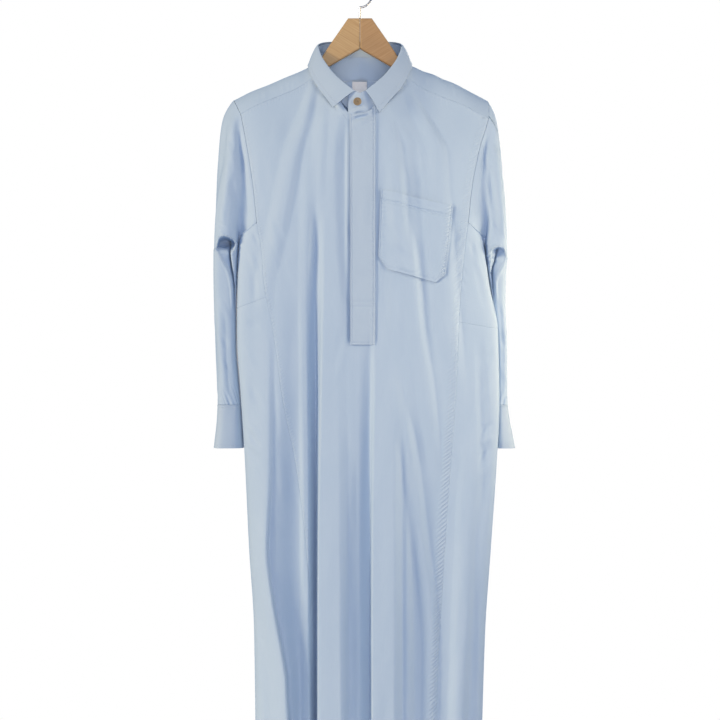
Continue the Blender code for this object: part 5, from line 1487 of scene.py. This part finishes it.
def turned(name, profile, finish, sides=48):
    """Profile of radius and depth rows turned about an axis along Y, closed by a point each end."""
    radius, depth = np.array(profile, float).T[..., None]
    turn = np.linspace(2 * np.pi, 0, sides, endpoint=False)
    rings = np.stack([radius * np.cos(turn), depth + 0 * turn, radius * np.sin(turn)], axis=-1)
    rings = rings + (BUTTON["x"], BUTTON["face"], BUTTON["z"])
    return closed_rings(name, rings[1:-1], rings[[0, -1], 0], finish)


button = turned("collar_button_turned",
                ((0, 1.0), (2.6, 1.05), (4.2, 0.95), (4.9, 0.35), (5.5, 0.0), (6.3, 0.05), (6.9, 0.5),
                 (7.05, 1.1), (6.9, 2.0), (6.2, 2.6), (3.0, 2.75), (0, 2.75)), button_resin)
ties = []
for x0, z0 in ((-1.3, -1.3), (-1.3, 1.3)):
    at = np.linspace(-1, 1, 9)[:, None]
    ties.append(np.concatenate([BUTTON["x"] + at * x0, BUTTON["face"] + 1.05 - 0.55 * (1 - at ** 4),
                                BUTTON["z"] + at * z0], axis=1))
button_thread = stitches("collar_button_thread", ties, dark_thread, pitch=0.45, length=0.9,
                         width=0.7, high=0.4)

# %% Hanger: wood on the solid arms, a smooth wire hook
for name, wood in (("hanger_arm_left", beech_left), ("hanger_arm_right", beech_right)):
    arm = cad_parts[name]
    arm.data.materials.clear()
    arm.data.materials.append(wood)
WIRE, BEND = 1.75, 20.75         # radius of the wire, and of its middle line round the rail
WOOD_TOP_Z = -59.6
sweep = np.radians(np.linspace(-90, 170, 110))
bend_z = WIRE - BEND
stem = np.array([(0, 0, z) for z in np.linspace(WOOD_TOP_Z, bend_z - BEND - 6, 8)])
curl = np.stack([BEND * np.cos(sweep), 0 * sweep, bend_z + BEND * np.sin(sweep)], axis=1)
joint = np.linspace(0, 1, 12)[1:-1, None]
middle = stem[-1] * (1 - joint) ** 2 + np.array([0, 0, curl[0, 2]]) * (1 - (1 - joint) ** 2)
line = np.vstack([stem, middle, curl])
radius = np.full(len(line), WIRE)
radius[-6:] = WIRE * np.sqrt(np.clip(1 - (np.arange(6) / 5.5) ** 2, 0.02, 1))
hook = rod("hanger_hook_wire", line, radius, spring_wire)

# %% [markdown]
# ## Topstitching
# Every sewn edge that shows gets its thread: lines are laid on the same cloth functions as the
# pieces, a little proud, so they follow each fold, and turn into one row of stitches each.

# %% Thread lines
def at_knot(knot, top, foot, lift, count=300):
    """Line beside a long seam, at a knot count of the body's form."""
    z = np.linspace(top, foot, count)
    return body_cloth(np.full(z.shape, float(knot)), z, lift)


def placket_line(x, z):
    """Line on top of the placket."""
    return front_cloth(x, z, PLACKET_LIFT + BAND / 2 + placket_height(x, z))


def pocket_line(u, v):
    """Line on top of the pocket."""
    x, z = pocket_place(u, v)
    return front_cloth(x, z, POCKET_LIFT + CLOTH / 2 + pocket_height(u, v))


z = np.linspace(PLACKET["top"] - 4, PLACKET["foot"] + 3, 260)
x = np.linspace(PLACKET["left"] + STITCH_IN, PLACKET["right"] - STITCH_IN, 40)
placket_thread = stitches("placket_topstitching",
                          [placket_line(0 * z + x[0], z), placket_line(0 * z + x[-1], z),
                           *(placket_line(x, 0 * x + row) for row in CROSS_ROWS)], thread)
v = np.linspace(0.01, 0.975, 120)
u = np.linspace(0.025, 0.975, 120)
pocket_thread = stitches("pocket_topstitching", [
    pocket_line(0 * v + 0.024, v), pocket_line(u, 0 * u + 0.977), pocket_line(0 * v + 0.976, v),
    *(pocket_line(u, 0 * u + row / POCKET_DEEP) for row in (POCKET_HEM, POCKET_HEM + HEM_ROWS))], thread)
seam_thread = stitches("long_seam_topstitching",
                       [at_knot(knot, -250, HEM_Z + 6, CLOTH / 2)
                        for knot in (FRONT_R - 0.055, FRONT_R - 0.13, SEAM_L + 0.055)], thread, pitch=3.4)
BELOW_YOKE = 4.5         # how far under the yoke's seams their topstitching runs
yoke_front = [front_cloth(x, smooth(x, YOKE_SEAM["x"], YOKE_SEAM["z"]) - BELOW_YOKE, CLOTH / 2)
              for x in (np.linspace(-205, -72, 90), np.linspace(72, 224, 100))]
yoke_thread = stitches("yoke_seam_topstitching", yoke_front, thread)
x = np.linspace(-205, 216, 220)
back_thread = stitches("back_yoke_topstitching",
                       [back_cloth(x, back_top(x) - BELOW_YOKE, CLOTH / 2)], thread, out=(0, 1, 0))


def grid_line(grid, row, out):
    """Line along one row of a closed grid, moved out from its middle."""
    line = np.concatenate([grid[row], grid[row][:1]])
    away = line - line.mean(axis=0)
    away[:, 2] = 0
    return line + out * away / np.linalg.norm(away, axis=1, keepdims=True)


CUFF_ROWS, COLLAR_ROW = (2, 31), 34          # rows of their grids that the thread follows
cuff_thread = [stitches(f"cuff_{side}_topstitching", [grid_line(grid, row, 1.0) for row in CUFF_ROWS],
                        thread, out=(-1 if side == "left" else 1, 0, 0))
               for side, grid in cuff_grids.items()]
collar_thread = stitches("collar_topstitching", [fall_grid[COLLAR_ROW] + (0, -1.0, 0.4)], thread)

# %% [markdown]
# ## What each piece stands for
# Every piece rides on the single rigid body and takes the place of its solid.

# %% Ride and replace
HUNG = [                 # piece, its solid, finish slot, grid, flat cut in metres, hangs on
    (front, "front_panel", "cotton", front_grid, (0.50, 1.43), ["robe_yoke"]),
    (back, "back_panel", "cotton", back_grid, (0.50, 1.42), ["robe_yoke"]),
    (yoke, "yoke", "cotton", yoke_grid, (0.48, 0.17), ["hanger_arm_left", "hanger_arm_right"]),
    (stand, "collar_stand", "cotton_band", stand_grid, (0.45, 0.06), ["robe_yoke"]),
    (fall, "collar_fall", "cotton_band", fall_grid, (0.46, 0.085), ["collar_stand_band"]),
    (placket, "placket", "cotton_band", placket_grid, (0.044, 0.40), ["robe_front"]),
    (under_placket, "placket_under", "cotton", under_grid, (0.042, 0.39), ["robe_front"]),
    (pocket, "pocket", "cotton", pocket_grid, (0.132, 0.16), ["robe_front"]),
    (label, "neck_label", "label", label_grid, (0.0275, 0.036), ["robe_yoke"])]
for side in ("left", "right"):
    HUNG += [(sleeves[side], f"sleeve_{side}", "cotton", sleeve_grids[side], (0.36, 0.54), ["robe_yoke"]),
             (cuffs[side], f"cuff_{side}", "cotton_band", cuff_grids[side], (0.30, 0.077),
              [f"sleeve_{side}_cloth"])]
    for part, flat, hangs_on in (("gusset", (0.19, 0.18), "robe_front"),
                                 ("side_front", (0.15, 1.01), "robe_front"),
                                 ("side_back", (0.16, 1.01), "robe_back")):
        name = f"{part}_{side}"
        HUNG.append((sides[name], name, "cotton", side_grids[name], flat, [hangs_on]))
for piece, solid, finish_slot, grid, flat, hangs_on in HUNG:
    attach(piece, "root")
    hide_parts(solid)
for piece, solid, finish_slot in ((button, "collar_button", "button"), (hook, "hanger_hook", "steel")):
    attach(piece, "root")
    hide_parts(solid)
for piece in [button_thread, placket_thread, pocket_thread, seam_thread, yoke_thread, back_thread,
              collar_thread, *cuff_thread]:
    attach(piece, "root")

# %% [markdown]
# ## Floor, light and camera
# The robe hangs clear of a pale floor, in a room that is seen white and lights the cloth faintly
# blue, as open sky does. A warm soft lamp high on the left shapes the folds. Weak ones on the
# right light the shoulder and the sleeve's edge, one fills the front and one the back, and a very
# small one inside the neck stands in for light that comes through the cloth. The camera looks
# level at the chest from 3.2 m.

# %% Floor and room
floor_mesh = bpy.data.meshes.new("floor")
half, floor_z = 1.0, -1.64
floor_mesh.from_pydata([(x * half, y * half, floor_z) for x, y in ((-1, -1), (1, -1), (1, 1), (-1, 1))],
                       [], [(0, 1, 2, 3)])
floor = bpy.data.objects.new("floor", floor_mesh)
bpy.context.collection.objects.link(floor)
pale = plain_finish("matt_white_painted_floor", "#e9e9e8", "#e4e4e3", 40, 0.02, Roughness=0.8)
floor_mesh.materials.append(pale)

room = bpy.data.worlds.new("pale_room")
bpy.context.scene.world = room
room.use_nodes = True
tree = room.node_tree
tree.nodes.clear()
seen = node(tree, "Background", {"Color": (1, 1, 1, 1), "Strength": 1.0}).outputs[0]
lit = node(tree, "Background", {"Color": srgb("#a1cbff"), "Strength": 0.39}).outputs[0]
eye = node(tree, "LightPath").outputs["Is Camera Ray"]
both = node(tree, "MixShader", {}, {0: eye, 1: lit, 2: seen}).outputs[0]
node(tree, "OutputWorld", {}, {"Surface": both})

# %% Lights and camera
def area_light(name, place, aim, power, size, colour):
    """Square soft light at a place, turned to face a point."""
    lamp = bpy.data.lights.new(name, "AREA")
    lamp.energy, lamp.size, lamp.color = power, size, srgb(colour)[:3]
    item = bpy.data.objects.new(name, lamp)
    item.location = place
    item.rotation_euler = (Vector(aim) - Vector(place)).to_track_quat("-Z", "Y").to_euler()
    bpy.context.collection.objects.link(item)
    return item


WARM = "#ffe2af"
LAMPS = (                # name, place, aim, watts, size in metres, colour
    ("left_softbox", (-5.4, -2.4, 1.0), (0, 0, -0.75), 362, 1.5, WARM),
    ("right_softbox", (1.5, -0.9, 0.45), (0.1, 0, -0.5), 9, 0.6, WARM),
    ("right_top_light", (1.2, -0.5, 0.8), (0.15, 0, -0.2), 6, 0.5, WARM),
    ("right_edge_light", (0.72, -0.2, -0.58), (0.24, -0.05, -0.58), 3.6, 0.25, WARM),
    ("back_softbox", (0.9, 3.0, 0.2), (0, 0, -0.7), 110, 1.2, "#ffe9c8"),
    ("front_softbox", (0.1, -3.5, -0.6), (0, 0, -0.6), 50, 1.2, "#ffeedd"),
    ("light_through_the_cloth", (0, 0.02, -0.25), (0, 0.05, -0.12), 0.013, 0.05, "#f2f4ff"))
through_cloth = [area_light(*lamp) for lamp in LAMPS][-1]
through_cloth.data.spread = np.radians(75)
through_cloth.visible_camera = False
VIEW_AWAY, VIEW_WIDE, CHEST_Z = 3.2, 1.2816, -0.6675
lens = bpy.data.cameras.new("level_camera")
lens.sensor_width = 36
lens.lens = lens.sensor_width * VIEW_AWAY / VIEW_WIDE      # the view is that wide at the robe
eye_point = bpy.data.objects.new("level_camera", lens)
eye_point.location = (0, -VIEW_AWAY, CHEST_Z)
eye_point.rotation_euler = (np.pi / 2, 0, 0)
bpy.context.collection.objects.link(eye_point)
bpy.context.scene.camera = eye_point
bpy.context.scene.view_settings.view_transform = "Standard"
